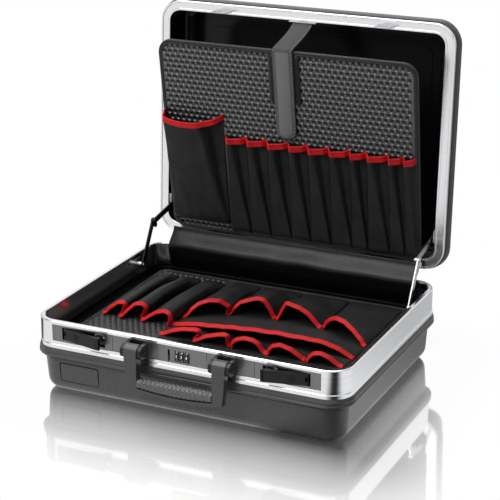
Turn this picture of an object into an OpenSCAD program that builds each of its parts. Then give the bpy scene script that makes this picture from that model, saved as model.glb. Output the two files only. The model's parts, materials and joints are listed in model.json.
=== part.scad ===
// Hard tool case with a hinged lid, two lever latches, a three-dial combination
// lock and a folding carry handle. Both halves hold a tool board with pockets.
// Millimetres, Z up, front at -Y. The origin is under the middle of the base.
// The lid is drawn shut and is then turned open about its hinge.

/* [Case] */
// Width over the metal frames
case_w = 465; // [400:5:540]
// Depth over the metal frames, front to back
case_d = 360; // [320:5:420]
// Height of the base, from the table to its rim
base_h = 109; // [100:1:140]
// Height of the lid, from its rim to its top
lid_h = 65; // [60:1:90]
// Radius of the upright corners of the frames
corner_r = 32; // [28:1:40]
// Angle between the shut and the open lid
open_angle = 93.5; // [85:0.5:100]

/* [Shells] */
// Wall of the two plastic shells
shell_t = 3.5; // [2.5:0.5:4.5]
// Radius of the long edges under the base and over the lid
edge_r = 18; // [12:1:22]
// How far the collar under each frame stands out
collar_out = 3.4; // [2:0.2:5]
// Height of the collar
collar_h = 13; // [11:1:18]
// How far the wall stands in from the frame below the collar
wall_in = 5; // [3:0.5:8]
// How much further in the wall stands at its far edge
wall_draft = 2.4; // [1:0.2:4]
// Width of the ledge under the collar
ledge_w = 1; // [0.4:0.2:1.4]
// How far the ledge lies below the collar
ledge_drop = 4.2; // [3.4:0.2:6]
// Depth of the pressed panels
panel_depth = 1.2; // [0.6:0.2:2]

/* [Frames] */
// Height of the metal frame of the base
frame_h = 40; // [38:1:48]
// Thickness of the base frame
frame_t = 7.2; // [6:0.2:9]
// Width of the lid frame's face
lid_frame_w = 15; // [12:0.5:16]
// Height of the lid frame's side
lid_frame_h = 9; // [7:0.5:12]
// Gap between the two rims when the lid is shut
rim_gap = 0.4; // [0.2:0.1:1]
// Distance from the corners' curve to the window in the front of the base frame
window_margin = 0.5; // [0.5:0.5:6]
// Height of the window
window_h = 24; // [22:1:26]
// Height of the window's lower edge over the frame's lower edge
window_rise = 11; // [9:1:14]
// Depth of the window
window_deep = 5.2; // [4.6:0.2:5.6]

/* [Lock plates] */
// Thickness of the plates in the window
plate_t = 4.2; // [3.8:0.1:4.4]
// Length of a lock plate past the lever's free end
lock_plate_end = 12.3; // [8:0.1:14]
// Half the length of the middle plate
middle_half = 36.4; // [34:0.2:40]
// Gap round each plate
plate_gap = 0.2; // [0.1:0.1:0.4]

/* [Latches] */
// Distance from the end of the window to a lever's pin
lever_inset = 19; // [14:0.5:24]
// Length of a latch lever
lever_w = 65.5; // [56:0.5:72]
// Height of a latch lever
lever_h = 17; // [15:0.5:18]
// Thickness of a latch lever
lever_t = 4; // [3.6:0.1:4]
// Angle at which a lever stands out when it is open
lever_open = 13; // [10:0.5:14]
// Diameter of a lever's pin
lever_pin_d = 2.4; // [2:0.1:2.6]
// Diameter of a key cylinder
key_d = 10; // [8:0.5:12]
// Width of a latch tongue
tongue_w = 10; // [8:0.5:12]
// Height of a latch tongue
tongue_h = 3.6; // [3:0.2:4]

/* [Catches] */
// Width of a catch tab on the lid
tab_w = 25; // [23:0.5:28]
// How far a catch tab reaches below the lid's rim
tab_drop = 19; // [18:0.5:22]
// Thickness of a catch tab
tab_t = 2; // [1.5:0.1:2.2]

/* [Combination lock] */
// Radius of a dial
dial_r = 11; // [10.4:0.1:11.4]
// Width of a dial
dial_w = 6; // [5:0.1:6.4]
// Distance between dials
dial_pitch = 7.6; // [7.2:0.1:8]
// Diameter of the dials' axle
axle_d = 4; // [3:0.2:5]

/* [Handle] */
// Distance between the middles of the handle's arms
handle_span = 131; // [120:1:140]
// Width of an arm at its hub
arm_w = 19; // [16:0.5:20]
// Distance from the handle's axis to the bottom of its grip
handle_reach = 57; // [52:1:60]
// Height of the grip
grip_h = 22; // [20:0.5:24]
// How far the grip bows down
grip_bow = 6; // [3:0.5:8]
// Radius of a hub
hub_r = 10.5; // [9:0.5:11.5]
// Diameter of a handle pin
handle_pin_d = 5; // [4:0.2:6]

/* [Tool boards] */
// Gap on each side between the lid's tool board and the lid's rim
lid_board_side = 15; // [12:0.5:24]
// How much lower the lid's board is than the lid's opening
lid_board_clear = 24; // [20:1:40]
// Angle at which the lid's board leans forward
board_lean = 8; // [5:0.5:10]
// Gap on each side between the base's tool board and the shell's wall
base_board_side = 17.5; // [10:0.5:25]
// Gap between the base's board and the box of the combination lock
base_board_front = 3.5; // [2:0.5:10]
// Gap between the base's board and the frame at the back
base_board_rear = 20.8; // [18:0.2:30]
// Thickness of both boards
board_t = 5; // [4:0.5:6]
// Width of the bound edges
binding_w = 6.5; // [5:0.5:8]
// How far the underside of the base's board lies below the rim
base_board_drop = 41; // [38:1:60]

/* [Hinges] */
// Distance of the hinge axis behind the frames
hinge_out = 12; // [11:0.5:14]
// Length of each hinge
hinge_w = 60; // [50:1:80]
// Distance of each hinge from the middle
hinge_x = 130; // [100:5:150]
// Radius of the hinge knuckles
knuckle_r = 5; // [4.5:0.1:5.5]
// Diameter of the hinge pins
hinge_pin_d = 4; // [3:0.2:5]

/* [Stays] */
// Thickness of a stay link
link_t = 2; // [1.5:0.1:2.2]
// Width of a stay link
link_w = 9; // [8:0.5:11]
// Diameter of the stays' pivots
stay_pin_d = 4; // [3:0.2:5]

/* [Hidden] */

$fn = 48;
slip = 0.05;
eps = 0.01;
lever_heel = 3;

half_w = case_w / 2;
half_d = case_d / 2;
frame_z = base_h - frame_h;
tongue_step = 5;
lid_z = base_h + rim_gap;
inside_x = half_w - wall_in - shell_t - 0.5;

// Front window and its plates
window_w = case_w - 2 * (corner_r + window_margin);
lock_plate_w = lever_inset - plate_gap + lever_w - lever_heel + lock_plate_end;
window_z = frame_z + window_rise;
window_mid = window_z + window_h / 2;
window_back = -half_d + window_deep;
plate_front = window_back - plate_t;
plate_h = window_h - 2 * plate_gap;
lock_plate_x = window_w / 2 - plate_gap - lock_plate_w / 2;
handle_plate_x0 = middle_half + plate_gap;
handle_plate_x1 = window_w / 2 - lock_plate_w - 3 * plate_gap;
inner_wall = -half_d + frame_t;
inner_back = half_d - frame_t;

// Latches: the pin is at the outer end, the tongue near the inner end
lever_pin_x = window_w / 2 - lever_inset;
lever_tip_x = lever_pin_x + lever_heel - lever_w;
lever_mid = window_z + 11.8;
lever_back = window_back - 0.6;
lever_pin_y = lever_back - lever_t / 2;
tongue_x = lever_tip_x + 5 + tongue_w / 2;
tongue_z = lever_mid + lever_h / 2 - 2;
tongue_tip = inner_wall + 11;
key_x = lever_pin_x - 21.5;
tab_y = inner_wall + 2.2;

// Combination lock
dial_y = plate_front - 1.5 + dial_r;
dial_z = window_mid - 2;
dial_gap = 1;
combination_half = 1.5 * dial_pitch + 3.6;
housing_wall = 2;
housing_back = dial_y + dial_r + 1 + housing_wall;
slider_x = -combination_half - 5;
slider_travel = 8;
slider_slot_h = 17;
slider_slot_w = 3;

// Handle
handle_x = handle_span / 2;
handle_y = plate_front - hub_r - 5;
handle_z = window_mid + 1;
ear_t = 5.5;
ear_gap = 0.4;
arm_t = 11;
lip_h = 5;
pad_t = 15;

// Lid hinge
hinge_y = half_d + hinge_out;
hinge_z = base_h;

// Stays: two links on each side that stay parallel to the hinge and bracket
stay_arm = [35, 60];
stay_base_y = hinge_y - 88;
stay_base_z = base_h - 15;
stay_lower_x = half_w - lid_frame_w - 2 - link_t / 2;
stay_upper_x = stay_lower_x - link_t - 1;

// Lid board
lid_board_w = case_w - 2 * (lid_frame_w + lid_board_side);
lid_board_h = case_d - 2 * lid_frame_w - lid_board_clear;
lid_board_y = hinge_y - 3.5;
lid_board_z = hinge_z + 25;
lid_face = -board_t / 2;
pocket_t = 1.4;
seam = 0.1;
foot_deep = 5;
big_pocket_w = 96;
big_pocket_mouth = 195;
big_pocket_deep = 27;
small_pocket_mouth = 164;
small_pocket_deep = 17;
pocket_foot = 12;
small_widths = [34, 33, 34, 31, 33, 33, 25, 34, 24, 18];
function sum_to(v, n) = n <= 0 ? 0 : v[n - 1] + sum_to(v, n - 1);
pocket_back = lid_face - 0.8 - seam;
big_x0 = -lid_board_w / 2 + 3;
small_x0 = big_x0 + big_pocket_w + 2.5;
small_x1 = lid_board_w / 2 - 4.5;
small_scale = (small_x1 - small_x0) / sum_to(small_widths, len(small_widths));
function small_edge(i) = small_x0 + small_scale * sum_to(small_widths, i);

// Base board
base_board_w = 2 * (inside_x - base_board_side);
base_board_back = inner_back - base_board_rear;
base_board_d = base_board_back - housing_back - base_board_front;
base_board_near = base_board_back - base_board_d;
base_board_z = base_h - base_board_drop;
base_face = base_board_z + board_t;

// Pockets on the base's board. Each row fills the board between two margins with
// pockets of [width, mouth from the board's front edge, length, height].
pocket_gap = 1;
board_margin_left = 10;
board_margin_right = 12;
function up_to_back(mouth, margin) = base_board_d - mouth - margin;
left_row = [[32.5, 101, up_to_back(101, 24), 24], [38, 102, up_to_back(102, 24), 28],
    [38.5, 96, up_to_back(96, 24), 23]];
rear_row = [[47.5, 150, up_to_back(150, 14), 26], [67, 176, up_to_back(176, 14), 30],
    [73, 180, up_to_back(180, 14), 30], [81.5, 164, up_to_back(164, 14), 28]];
strip_row = [[278, 94, 40, 22]];
front_row = [[58, 60, 31, 21], [57.5, 60, 31, 21], [55.5, 60, 31, 22],
    [54.5, 60, 31, 22], [53.5, 60, 31, 20]];
function widths(row, n) = n <= 0 ? 0 : row[n - 1][0] + pocket_gap + widths(row, n - 1);
function row_pockets(row, x0, x1) =
    let (n = len(row), scale = (x1 - x0 + pocket_gap) / widths(row, n))
        [for (i = [0 : n - 1]) let (p = row[i], x = x0 + scale * widths(row, i))
            [x, x + scale * (p[0] + pocket_gap) - pocket_gap, base_board_near + p[1],
                p[2], p[3]]];
left_x0 = -base_board_w / 2 + board_margin_left;
right_x1 = base_board_w / 2 - board_margin_right;
left_share = 0.285;
left_x1 = left_x0 + left_share * (right_x1 - left_x0);
left_pockets = row_pockets(left_row, left_x0, left_x1);
rear_pockets = row_pockets(rear_row, left_x1 + 6.9, right_x1);
strip_pockets = row_pockets(strip_row, left_x1 + 2.9, right_x1);
front_pockets = row_pockets(front_row, left_x1 - 4.1, right_x1);

// ---------------------------------------------------------------- helpers

function arc(cx, cy, r, from, to, steps) =
    [for (i = [0 : steps]) let (a = from + (to - from) * i / steps)
        [cx + r * cos(a), cy + r * sin(a)]];

function bezier(p, t) = pow(1 - t, 3) * p[0] + 3 * t * pow(1 - t, 2) * p[1]
    + 3 * t * t * (1 - t) * p[2] + pow(t, 3) * p[3];

function slope(p, t) = 3 * pow(1 - t, 2) * (p[1] - p[0])
    + 6 * t * (1 - t) * (p[2] - p[1]) + 3 * t * t * (p[3] - p[2]);

function beside(p, t, off) = let (s = slope(p, t))
    bezier(p, t) + off / norm(s) * [-s[1], s[0]];

// A band of even thickness along one or more curves
module band(curves, thick, steps) {
    near = [for (c = curves) for (i = [0 : steps]) beside(c, i / steps, thick / 2)];
    far = [for (c = curves) for (i = [0 : steps]) beside(c, i / steps, -thick / 2)];
    polygon(concat(near, [for (i = [len(far) - 1 : -1 : 0]) far[i]]));
}

module rounded(w, h, r) {
    square([w - 2 * r, h], center = true);
    square([w, h - 2 * r], center = true);
    for (x = [-1, 1])
        for (y = [-1, 1])
            translate([x * (w / 2 - r), y * (h / 2 - r)]) circle(r);
}

// Sweeps a profile round the case. In the profile, x is the distance out from the
// centre of the corner radius and y is the height.
module round_case() {
    for (k = [0 : 3]) {
        along = k % 2 == 0 ? case_d : case_w;
        across = k % 2 == 0 ? case_w : case_d;
        rotate([0, 0, 90 * k])
            translate([across / 2 - corner_r, along / 2 - corner_r, 0]) {
                rotate([90, 0, 0]) linear_extrude(along - 2 * corner_r) children();
                rotate_extrude(angle = 90) children();
            }
    }
}

// A profile given as [offset out from the frame's face, height]
module case_profile(points) {
    polygon([for (p = points) [corner_r + p[0], p[1]]]);
}

module core_block(z0, z1) {
    translate([0, 0, (z0 + z1) / 2])
        cube([case_w - 2 * corner_r, case_d - 2 * corner_r, z1 - z0], center = true);
}

// Draws a YZ profile as a bar along X between two ends
module bar(x0, x1) {
    translate([x0, 0, 0]) rotate([90, 0, 90]) linear_extrude(x1 - x0) children();
}

module rod(x0, x1, d) {
    translate([x0, 0, 0]) rotate([0, 90, 0]) cylinder(d = d, h = x1 - x0);
}

module both() {
    children();
    mirror([1, 0, 0]) children();
}

module lid_place() {
    translate([0, hinge_y, hinge_z]) rotate([-open_angle, 0, 0])
        translate([0, -hinge_y, -hinge_z]) children();
}

module lid_board_place() {
    translate([0, lid_board_y, lid_board_z]) rotate([board_lean, 0, 0]) children();
}

// ---------------------------------------------------------------- shells

// Outer and inner outline of a shell, from its flat outside to the frame.
// top is where the frame starts; inside, the wall is upright near the frame.
function shell_outline(top) = concat(
    [[-corner_r, 0]],
    arc(-wall_in - wall_draft - edge_r, edge_r, edge_r, -90, 0, 6),
    [[-wall_in, top - collar_h - ledge_drop - 1],
        [-wall_in - 0.3, top - collar_h - ledge_drop - 0.3],
        [-wall_in - ledge_w, top - collar_h - ledge_drop],
        [-wall_in - ledge_w, top - collar_h - 0.4],
        [collar_out - 1.8, top - collar_h - 0.4], [collar_out - 0.6, top - collar_h + 0.2],
        [collar_out, top - collar_h + 1.4], [collar_out, top - collar_h + 3.6],
        [collar_out - 0.9, top - collar_h + 4.8], [collar_out - 0.9, top - collar_h + 5.6],
        [collar_out - 0.3, top - collar_h + 6.6], [collar_out - 0.5, top - 4],
        [collar_out - 1.6, top - 2], [collar_out - 2.2, top]]);

function shell_inside(top) = concat(
    [[-shell_t - wall_in - 0.5, top], [-shell_t - wall_in - 0.5, top - 24]],
    arc(-wall_in - wall_draft - edge_r, edge_r, edge_r - shell_t, 0, -90, 6),
    [[-corner_r, shell_t]]);

module shell(top, lip) {
    difference() {
        union() {
            core_block(0, shell_t);
            round_case() case_profile(concat(shell_outline(top), lip, shell_inside(top)));
        }
        // pressed panel in the flat outside
        translate([0, 0, -eps]) linear_extrude(panel_depth + eps)
            difference() {
                rounded(case_w - 120, case_d - 110, 24);
                rounded(case_w - 140, case_d - 130, 16);
            }
    }
}

field_h = 29;
groove_w = 1.6;
field_z = (frame_z - collar_h) / 2 + 4;

module base_shell() color([0.09, 0.09, 0.10]) {
    difference() {
        shell(frame_z, [[-4.7, frame_z], [-4.7, frame_z + tongue_step],
            [-frame_t, frame_z + tongue_step], [-frame_t, frame_z]]);
        // groove round a bare field for a name card
        translate([-half_w + 69, -half_d + wall_in + wall_draft + 1.1, field_z])
            rotate([90, 0, 0]) linear_extrude(wall_in + wall_draft) difference() {
                rounded(62, field_h, 4);
                rounded(62 - 2 * groove_w, field_h - 2 * groove_w, 4 - groove_w);
            }
    }
}

module lid_shell() color([0.09, 0.09, 0.10]) lid_place() {
    translate([0, 0, lid_z + lid_h]) mirror([0, 0, 1])
        shell(lid_h - lid_frame_h - 0.2, [[-2.2, lid_h - lid_frame_h - 0.2],
            [-2.2, lid_h - 3.4], [-shell_t - wall_in - 0.5, lid_h - 3.4]]);
    // raised panel inside the lid, on a lower step
    translate([0, 0, lid_z + lid_h - shell_t - 3.2]) linear_extrude(3.2 + eps)
        rounded(case_w - 104, case_d - 86, 14);
    translate([0, 0, lid_z + lid_h - shell_t - 1.4]) linear_extrude(1.4 + eps)
        rounded(case_w - 78, case_d - 60, 20);
}

// ---------------------------------------------------------------- frames

module base_frame() color([0.86, 0.87, 0.88]) {
    difference() {
        round_case() case_profile([[0.8, frame_z], [0.8, frame_z + 5.2],
            [0, frame_z + 6.2], [0, base_h - 1.4], [-0.9, base_h - 0.3],
            [-1.8, base_h], [-frame_t + 1.4, base_h], [-frame_t, base_h - 1.4],
            [-frame_t, frame_z + tongue_step], [-4.7, frame_z + tongue_step],
            [-4.7, frame_z]]);
        translate([-window_w / 2, -half_d - 2, window_z])
            cube([window_w, window_deep + 2, window_h]);
        both() translate([tongue_x - tongue_w / 2 - 3, window_back - 1, tongue_z - tongue_h - 0.6])
            cube([tongue_w + 6, frame_t, tongue_h + 1.2]);
        translate([-combination_half, window_back - 1, dial_z - dial_r - 0.8])
            cube([2 * combination_half, frame_t, 2 * dial_r + 1.6]);
    }
}

module lid_frame() color([0.86, 0.87, 0.88]) lid_place() translate([0, 0, lid_z])
    round_case() case_profile([[-0.8, 0], [0, 0.8], [0, lid_frame_h], [-2.2, lid_frame_h],
        [-2.2, 3.4], [-lid_frame_w, 3.4], [-lid_frame_w, 0.6], [-lid_frame_w + 0.6, 0],
        [-lid_frame_w + 3, 0], [-lid_frame_w + 3.4, 1], [-3.2, 1], [-2.8, 0]]);

// ---------------------------------------------------------------- front plates

module plate_block(x0, x1) {
    translate([x0, plate_front, window_z + plate_gap]) cube([x1 - x0, plate_t, plate_h]);
}

module lock_plate() {
    difference() {
        plate_block(lock_plate_x - lock_plate_w / 2, lock_plate_x + lock_plate_w / 2);
        translate([lever_tip_x - 0.9, plate_front - 1, lever_mid - lever_h / 2 - 0.6])
            cube([lever_w + 1.8, plate_t + 2, lever_h + 1.2]);
        translate([lever_pin_x, lever_pin_y, window_z - 1])
            cylinder(d = lever_pin_d, h = window_h + 2);
    }
}

module lock_plate_left() color([0.45, 0.45, 0.46]) mirror([1, 0, 0]) lock_plate();
module lock_plate_right() color([0.45, 0.45, 0.46]) lock_plate();

// Plate with the two ears that carry one end of the handle
module handle_plate() {
    plate_block(handle_plate_x0, handle_plate_x1);
    for (side = [-1, 1])
        translate([handle_x + side * (arm_w / 2 + ear_gap + ear_t / 2), 0, 0])
            difference() {
                bar(-ear_t / 2, ear_t / 2) {
                    translate([handle_y, handle_z]) circle(hub_r - 1.2);
                    translate([handle_y, handle_z - hub_r + 1.2])
                        square([plate_front - handle_y + eps, 2 * hub_r - 2.4]);
                }
                translate([0, handle_y, handle_z])
                    rod(-ear_t, ear_t, handle_pin_d);
            }
}

module handle_plate_left() color([0.5, 0.5, 0.51]) mirror([1, 0, 0]) handle_plate();
module handle_plate_right() color([0.5, 0.5, 0.51]) handle_plate();

module combination_plate() color([0.5, 0.5, 0.51]) {
    difference() {
        plate_block(-middle_half + plate_gap, middle_half - plate_gap);
        for (k = [-1 : 1])
            translate([k * dial_pitch, dial_y, dial_z])
                rod(-dial_w / 2 - 0.4, dial_w / 2 + 0.4, 2 * (dial_r + dial_gap));
        translate([slider_x, plate_front - 1, dial_z])
            rotate([-90, 0, 0]) linear_extrude(plate_t + 2)
                rounded(slider_slot_w, slider_slot_h, slider_slot_w / 2 - eps);
    }
}

// Box behind the frame that holds the dials' axle
module combination_housing() color([0.2, 0.2, 0.2]) {
    wall = housing_wall;
    deep = housing_back - inner_wall;
    difference() {
        translate([-combination_half - wall, inner_wall, dial_z - dial_r - 0.8 - wall])
            cube([2 * (combination_half + wall), deep, 2 * (dial_r + 0.8 + wall)]);
        translate([-combination_half, inner_wall - 1, dial_z - dial_r - 0.8])
            cube([2 * combination_half, deep - wall + 1, 2 * (dial_r + 0.8)]);
        translate([0, dial_y, dial_z])
            rod(-combination_half - wall - 1, combination_half + wall + 1, axle_d);
    }
}

module dial_axle() color([0.7, 0.7, 0.72]) translate([0, dial_y, dial_z])
    rod(-combination_half - housing_wall, combination_half + housing_wall, axle_d);

// A drum with ten flats and a milled rim on one side
module dial(k) {
    translate([k * dial_pitch, dial_y, dial_z]) difference() {
        union() {
            translate([-dial_w / 2, 0, 0]) rotate([0, 90, 0])
                cylinder(r = dial_r, h = dial_w * 0.72, $fn = 10);
            rod(dial_w * 0.2, dial_w / 2, 2 * dial_r);
        }
        rod(-dial_w, dial_w, axle_d + 2 * slip);
        for (i = [0 : 9])
            rotate([36 * i, 0, 0]) translate([0, 0, dial_r + 0.5]) rod(dial_w * 0.22, dial_w, 2.6);
    }
}

module dial_1() color([0.15, 0.15, 0.15]) dial(-1);
module dial_2() color([0.15, 0.15, 0.15]) dial(0);
module dial_3() color([0.15, 0.15, 0.15]) dial(1);

module lock_slider() color([0.12, 0.12, 0.12])
    translate([slider_x, plate_front - 0.6, dial_z - slider_travel / 2])
        rotate([-90, 0, 0]) linear_extrude(window_back - plate_front + 0.4)
            rounded(slider_slot_w - 0.4, slider_slot_h - slider_travel - 0.6,
                slider_slot_w / 2 - 0.3);

// ---------------------------------------------------------------- latches

module open_lever() {
    translate([lever_pin_x, lever_pin_y, 0]) rotate([0, 0, lever_open])
        translate([-lever_pin_x, -lever_pin_y, 0]) children();
}

spring_h = 6;

module latch_lever() {
    open_lever() difference() {
        union() {
            translate([lever_tip_x, lever_back - lever_t, lever_mid - lever_h / 2])
                cube([lever_pin_x - lever_tip_x, lever_t, lever_h]);
            translate([lever_pin_x, lever_pin_y, lever_mid - lever_h / 2])
                cylinder(d = lever_t, h = lever_h);
        }
        translate([lever_pin_x, lever_pin_y, lever_mid - lever_h])
            cylinder(d = lever_pin_d + 2 * slip, h = 2 * lever_h);
        translate([lever_pin_x - 3.5, lever_pin_y - lever_t, lever_mid - spring_h / 2 - 0.4])
            cube([8, 2 * lever_t, spring_h + 0.8]);
        translate([key_x, lever_back - lever_t - 1, lever_mid])
            rotate([-90, 0, 0]) cylinder(d = key_d + 2 * slip, h = lever_t + 2);
        // shallow finger scoop at the free end
        translate([lever_tip_x + 3, lever_back - lever_t, lever_mid - lever_h / 2 - 1])
            rotate([0, 0, 45]) cube([1.4, 1.4, 2 * lever_h + 2], center = true);
    }
}

module latch_tongue() {
    open_lever() translate([tongue_x - tongue_w / 2, lever_back, tongue_z - tongue_h])
        difference() {
            cube([tongue_w, tongue_tip - lever_back, tongue_h]);
            translate([0, tongue_tip - lever_back, -1]) rotate([0, 0, 45])
                cube([2.4, 2.4, 3 * tongue_h], center = true);
        }
}

module key_cylinder() {
    open_lever() translate([key_x, lever_back - lever_t - 0.3, lever_mid])
        rotate([-90, 0, 0]) difference() {
            cylinder(d = key_d, h = lever_t + 0.3);
            cube([1.4, key_d * 0.55, 3], center = true);
            rotate_extrude() translate([key_d / 2 - 1.4, 0]) circle(0.35, $fn = 16);
        }
}

module latch_lever_left() color([0.3, 0.3, 0.31]) mirror([1, 0, 0]) latch_lever();
module latch_lever_right() color([0.3, 0.3, 0.31]) latch_lever();
module latch_tongue_left() color([0.8, 0.8, 0.8]) mirror([1, 0, 0]) latch_tongue();
module latch_tongue_right() color([0.8, 0.8, 0.8]) latch_tongue();
module key_cylinder_left() color([0.25, 0.25, 0.25]) mirror([1, 0, 0]) key_cylinder();
module key_cylinder_right() color([0.25, 0.25, 0.25]) key_cylinder();

module latch_pins() color([0.75, 0.75, 0.75]) both()
    translate([lever_pin_x, lever_pin_y, window_z + plate_gap])
        cylinder(d = lever_pin_d, h = plate_h);

// Small torsion springs round the pins, drawn as closed coils
module latch_springs() color([0.75, 0.75, 0.75]) both()
    translate([lever_pin_x, lever_pin_y, lever_mid - spring_h / 2])
        rotate_extrude() polygon(concat(
            [[lever_pin_d / 2 + slip, 0], [lever_pin_d / 2 + 0.45, 0]],
            [for (i = [0 : 7]) for (p = [[lever_pin_d / 2 + 0.75, i * 0.75 + 0.3],
                [lever_pin_d / 2 + 0.45, i * 0.75 + 0.75]]) p],
            [[lever_pin_d / 2 + slip, spring_h]]));

module catch_tabs() color([0.85, 0.85, 0.85]) lid_place() both() difference() {
    translate([tongue_x - tab_w / 2, tab_y, lid_z - tab_drop]) cube([tab_w, tab_t, tab_drop]);
    translate([tongue_x - tongue_w / 2 - 3.2, tab_y - 1, tongue_z - tongue_h - 1.2])
        cube([tongue_w + 6.4, tab_t + 2, tongue_h + 2.4]);
}

// ---------------------------------------------------------------- handle

// The handle hangs down: x outwards, y up from its axis. The bar at the bottom is
// bowed, and the pad lies on it between the arms.
handle_half = handle_x + arm_w / 2;
handle_inner = handle_x - arm_w / 2;
bow_low = -handle_reach + grip_bow;
bow_r = (pow(handle_half - 4, 2) + pow(grip_bow, 2)) / (2 * grip_bow);
function bow_arc(half, rise, steps) = let (a = asin(half / bow_r))
    arc(0, bow_r - handle_reach + rise, bow_r, -90 - a, -90 + a, steps);
function backwards(list) = [for (i = [len(list) - 1 : -1 : 0]) list[i]];

module handle_outline() {
    polygon(concat(
        [[-handle_half, 0], [-handle_half + 1.5, -handle_reach * 0.45], [-handle_half + 4, bow_low + 3]],
        bow_arc(handle_half - 4, 0, 14),
        [[handle_half - 4, bow_low + 3], [handle_half - 1.5, -handle_reach * 0.45], [handle_half, 0],
            [handle_inner, 0]],
        backwards(bow_arc(handle_inner, lip_h, 10)),
        [[-handle_inner, 0]]));
}

module handle() color([0.12, 0.12, 0.12]) translate([0, handle_y, handle_z]) difference() {
    union() {
        translate([0, arm_t - hub_r, 0]) rotate([90, 0, 0]) linear_extrude(arm_t) handle_outline();
        both() translate([handle_x, 0, 0]) rod(-arm_w / 2, arm_w / 2, 2 * hub_r);
    }
    both() translate([handle_x, 0, 0]) rod(-arm_w, arm_w, handle_pin_d + 2 * slip);
}

// Soft pad round the bar: rounded across, and bowed underneath like the bar
module handle_grip_pad() color([0.2, 0.2, 0.2]) translate([0, handle_y, handle_z]) {
    half = handle_inner - 0.4;
    pad_h = grip_h + grip_bow;
    intersection() {
        translate([0, arm_t / 2 - hub_r, grip_h - handle_reach - pad_h / 2])
            rotate([90, 0, 90]) translate([0, 0, -half]) linear_extrude(2 * half)
                rounded(pad_t, pad_h, pad_t / 2 - 0.6);
        translate([0, handle_half, 0]) rotate([90, 0, 0]) linear_extrude(2 * handle_half)
            polygon(concat(bow_arc(half, lip_h + seam, 10), [[half, 0], [-half, 0]]));
    }
}

module handle_pins() color([0.8, 0.8, 0.8]) both()
    translate([handle_x, handle_y, handle_z]) {
        end = arm_w / 2 + ear_gap + ear_t;
        rod(-end, end, handle_pin_d);
        for (side = [-1, 1])
            translate([side * end, 0, 0]) rotate([0, side * 90, 0]) rivet(1);
    }

// ---------------------------------------------------------------- lid hinge

module knuckles(list, arm_z0, arm_z1, arm_y, bore) {
    for (k = list) translate([hinge_x - hinge_w / 2 + k[0], 0, 0]) difference() {
        bar(0, k[1]) {
            translate([hinge_y, hinge_z]) circle(knuckle_r);
            translate([arm_y, hinge_z + arm_z0]) square([hinge_y - arm_y, arm_z1 - arm_z0]);
        }
        translate([0, hinge_y, hinge_z]) rod(-1, k[1] + 1, bore);
    }
}

rivet_d = 4;
rivet_x = [-hinge_w / 3, 0, hinge_w / 3];
leaf_t = 2;

module hinge_base_leaves() color([0.75, 0.75, 0.75]) both() {
    step = hinge_w / 5;
    difference() {
        translate([hinge_x - hinge_w / 2, half_d, hinge_z - 26]) cube([hinge_w, leaf_t, 23]);
        for (x = rivet_x) translate([hinge_x + x, half_d - 1, hinge_z - 17])
            rotate([-90, 0, 0]) cylinder(d = rivet_d, h = leaf_t + 2);
    }
    knuckles([for (i = [0, 2, 4]) [i * step, step]], -knuckle_r, -knuckle_r + 2.2,
        half_d, hinge_pin_d);
}

lid_leaf_y = half_d + collar_out;

module hinge_lid_leaves() color([0.75, 0.75, 0.75]) lid_place() both() {
    step = hinge_w / 5;
    difference() {
        translate([hinge_x - hinge_w / 2, lid_leaf_y, hinge_z + 2]) cube([hinge_w, leaf_t, 22]);
        for (x = rivet_x) translate([hinge_x + x, lid_leaf_y - 1, hinge_z + 20.4])
            rotate([-90, 0, 0]) cylinder(d = rivet_d, h = leaf_t + 2);
    }
    knuckles([for (i = [1, 3]) [i * step + 0.3, step - 0.6]], knuckle_r - 2.2, knuckle_r,
        lid_leaf_y, hinge_pin_d + 2 * slip);
}

module hinge_pins() color([0.8, 0.8, 0.8]) both()
    translate([hinge_x, hinge_y, hinge_z]) rod(-hinge_w / 2 - 1, hinge_w / 2 + 1, hinge_pin_d);

module rivet(deep) {
    translate([0, 0, -deep]) cylinder(d = rivet_d, h = deep);
    rotate_extrude() intersection() {
        translate([0, -4.2]) circle(5.4);
        square([3.6, 3]);
    }
}

module hinge_base_rivets() color([0.8, 0.8, 0.8]) both() for (x = rivet_x)
    translate([hinge_x + x, half_d + leaf_t, hinge_z - 17]) rotate([-90, 0, 0]) rivet(leaf_t);

module hinge_lid_rivets() color([0.8, 0.8, 0.8]) lid_place() both() for (x = rivet_x)
    translate([hinge_x + x, lid_leaf_y + leaf_t, hinge_z + 20.4]) rotate([-90, 0, 0]) rivet(leaf_t);

// Leatherette strip that covers the gap between the lid's board and the base
flap_half = lid_board_w / 2 - 1;
flap_curves = [
    [[hinge_y - 8.8, hinge_z + 24.5], [hinge_y - 10, hinge_z + 15],
        [hinge_y - 20, hinge_z + 10], [hinge_y - 26, hinge_z + 3]],
    [[hinge_y - 26.4, hinge_z + 2.4], [hinge_y - 30.5, hinge_z - 2.5],
        [hinge_y - 27, hinge_z - 17], [inner_back - 1.5, hinge_z - 34]]];
module hinge_flap() color([0.1, 0.1, 0.1]) bar(-flap_half, flap_half) band(flap_curves, 2, 8);

// ---------------------------------------------------------------- stays

// A flat link between two pivots, with room for a hook at its far end
module link(from, to, t) {
    run = to - from;
    translate([0, from[0], from[1]]) rotate([atan2(run[1], run[0]), 0, 0])
        difference() {
            bar(-t / 2, t / 2) {
                translate([0, -link_w / 2]) square([norm(run), link_w]);
                circle(d = link_w);
                translate([norm(run), 0]) circle(d = link_w);
                children();
            }
            for (y = [0, norm(run)])
                translate([0, y, 0]) rod(-t, t, stay_pin_d + 2 * slip);
        }
}

stay_b = [stay_base_y, stay_base_z];
stay_k = stay_b + stay_arm;
stay_l = [hinge_y, hinge_z] + stay_arm;

hook_reach = 11;

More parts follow.
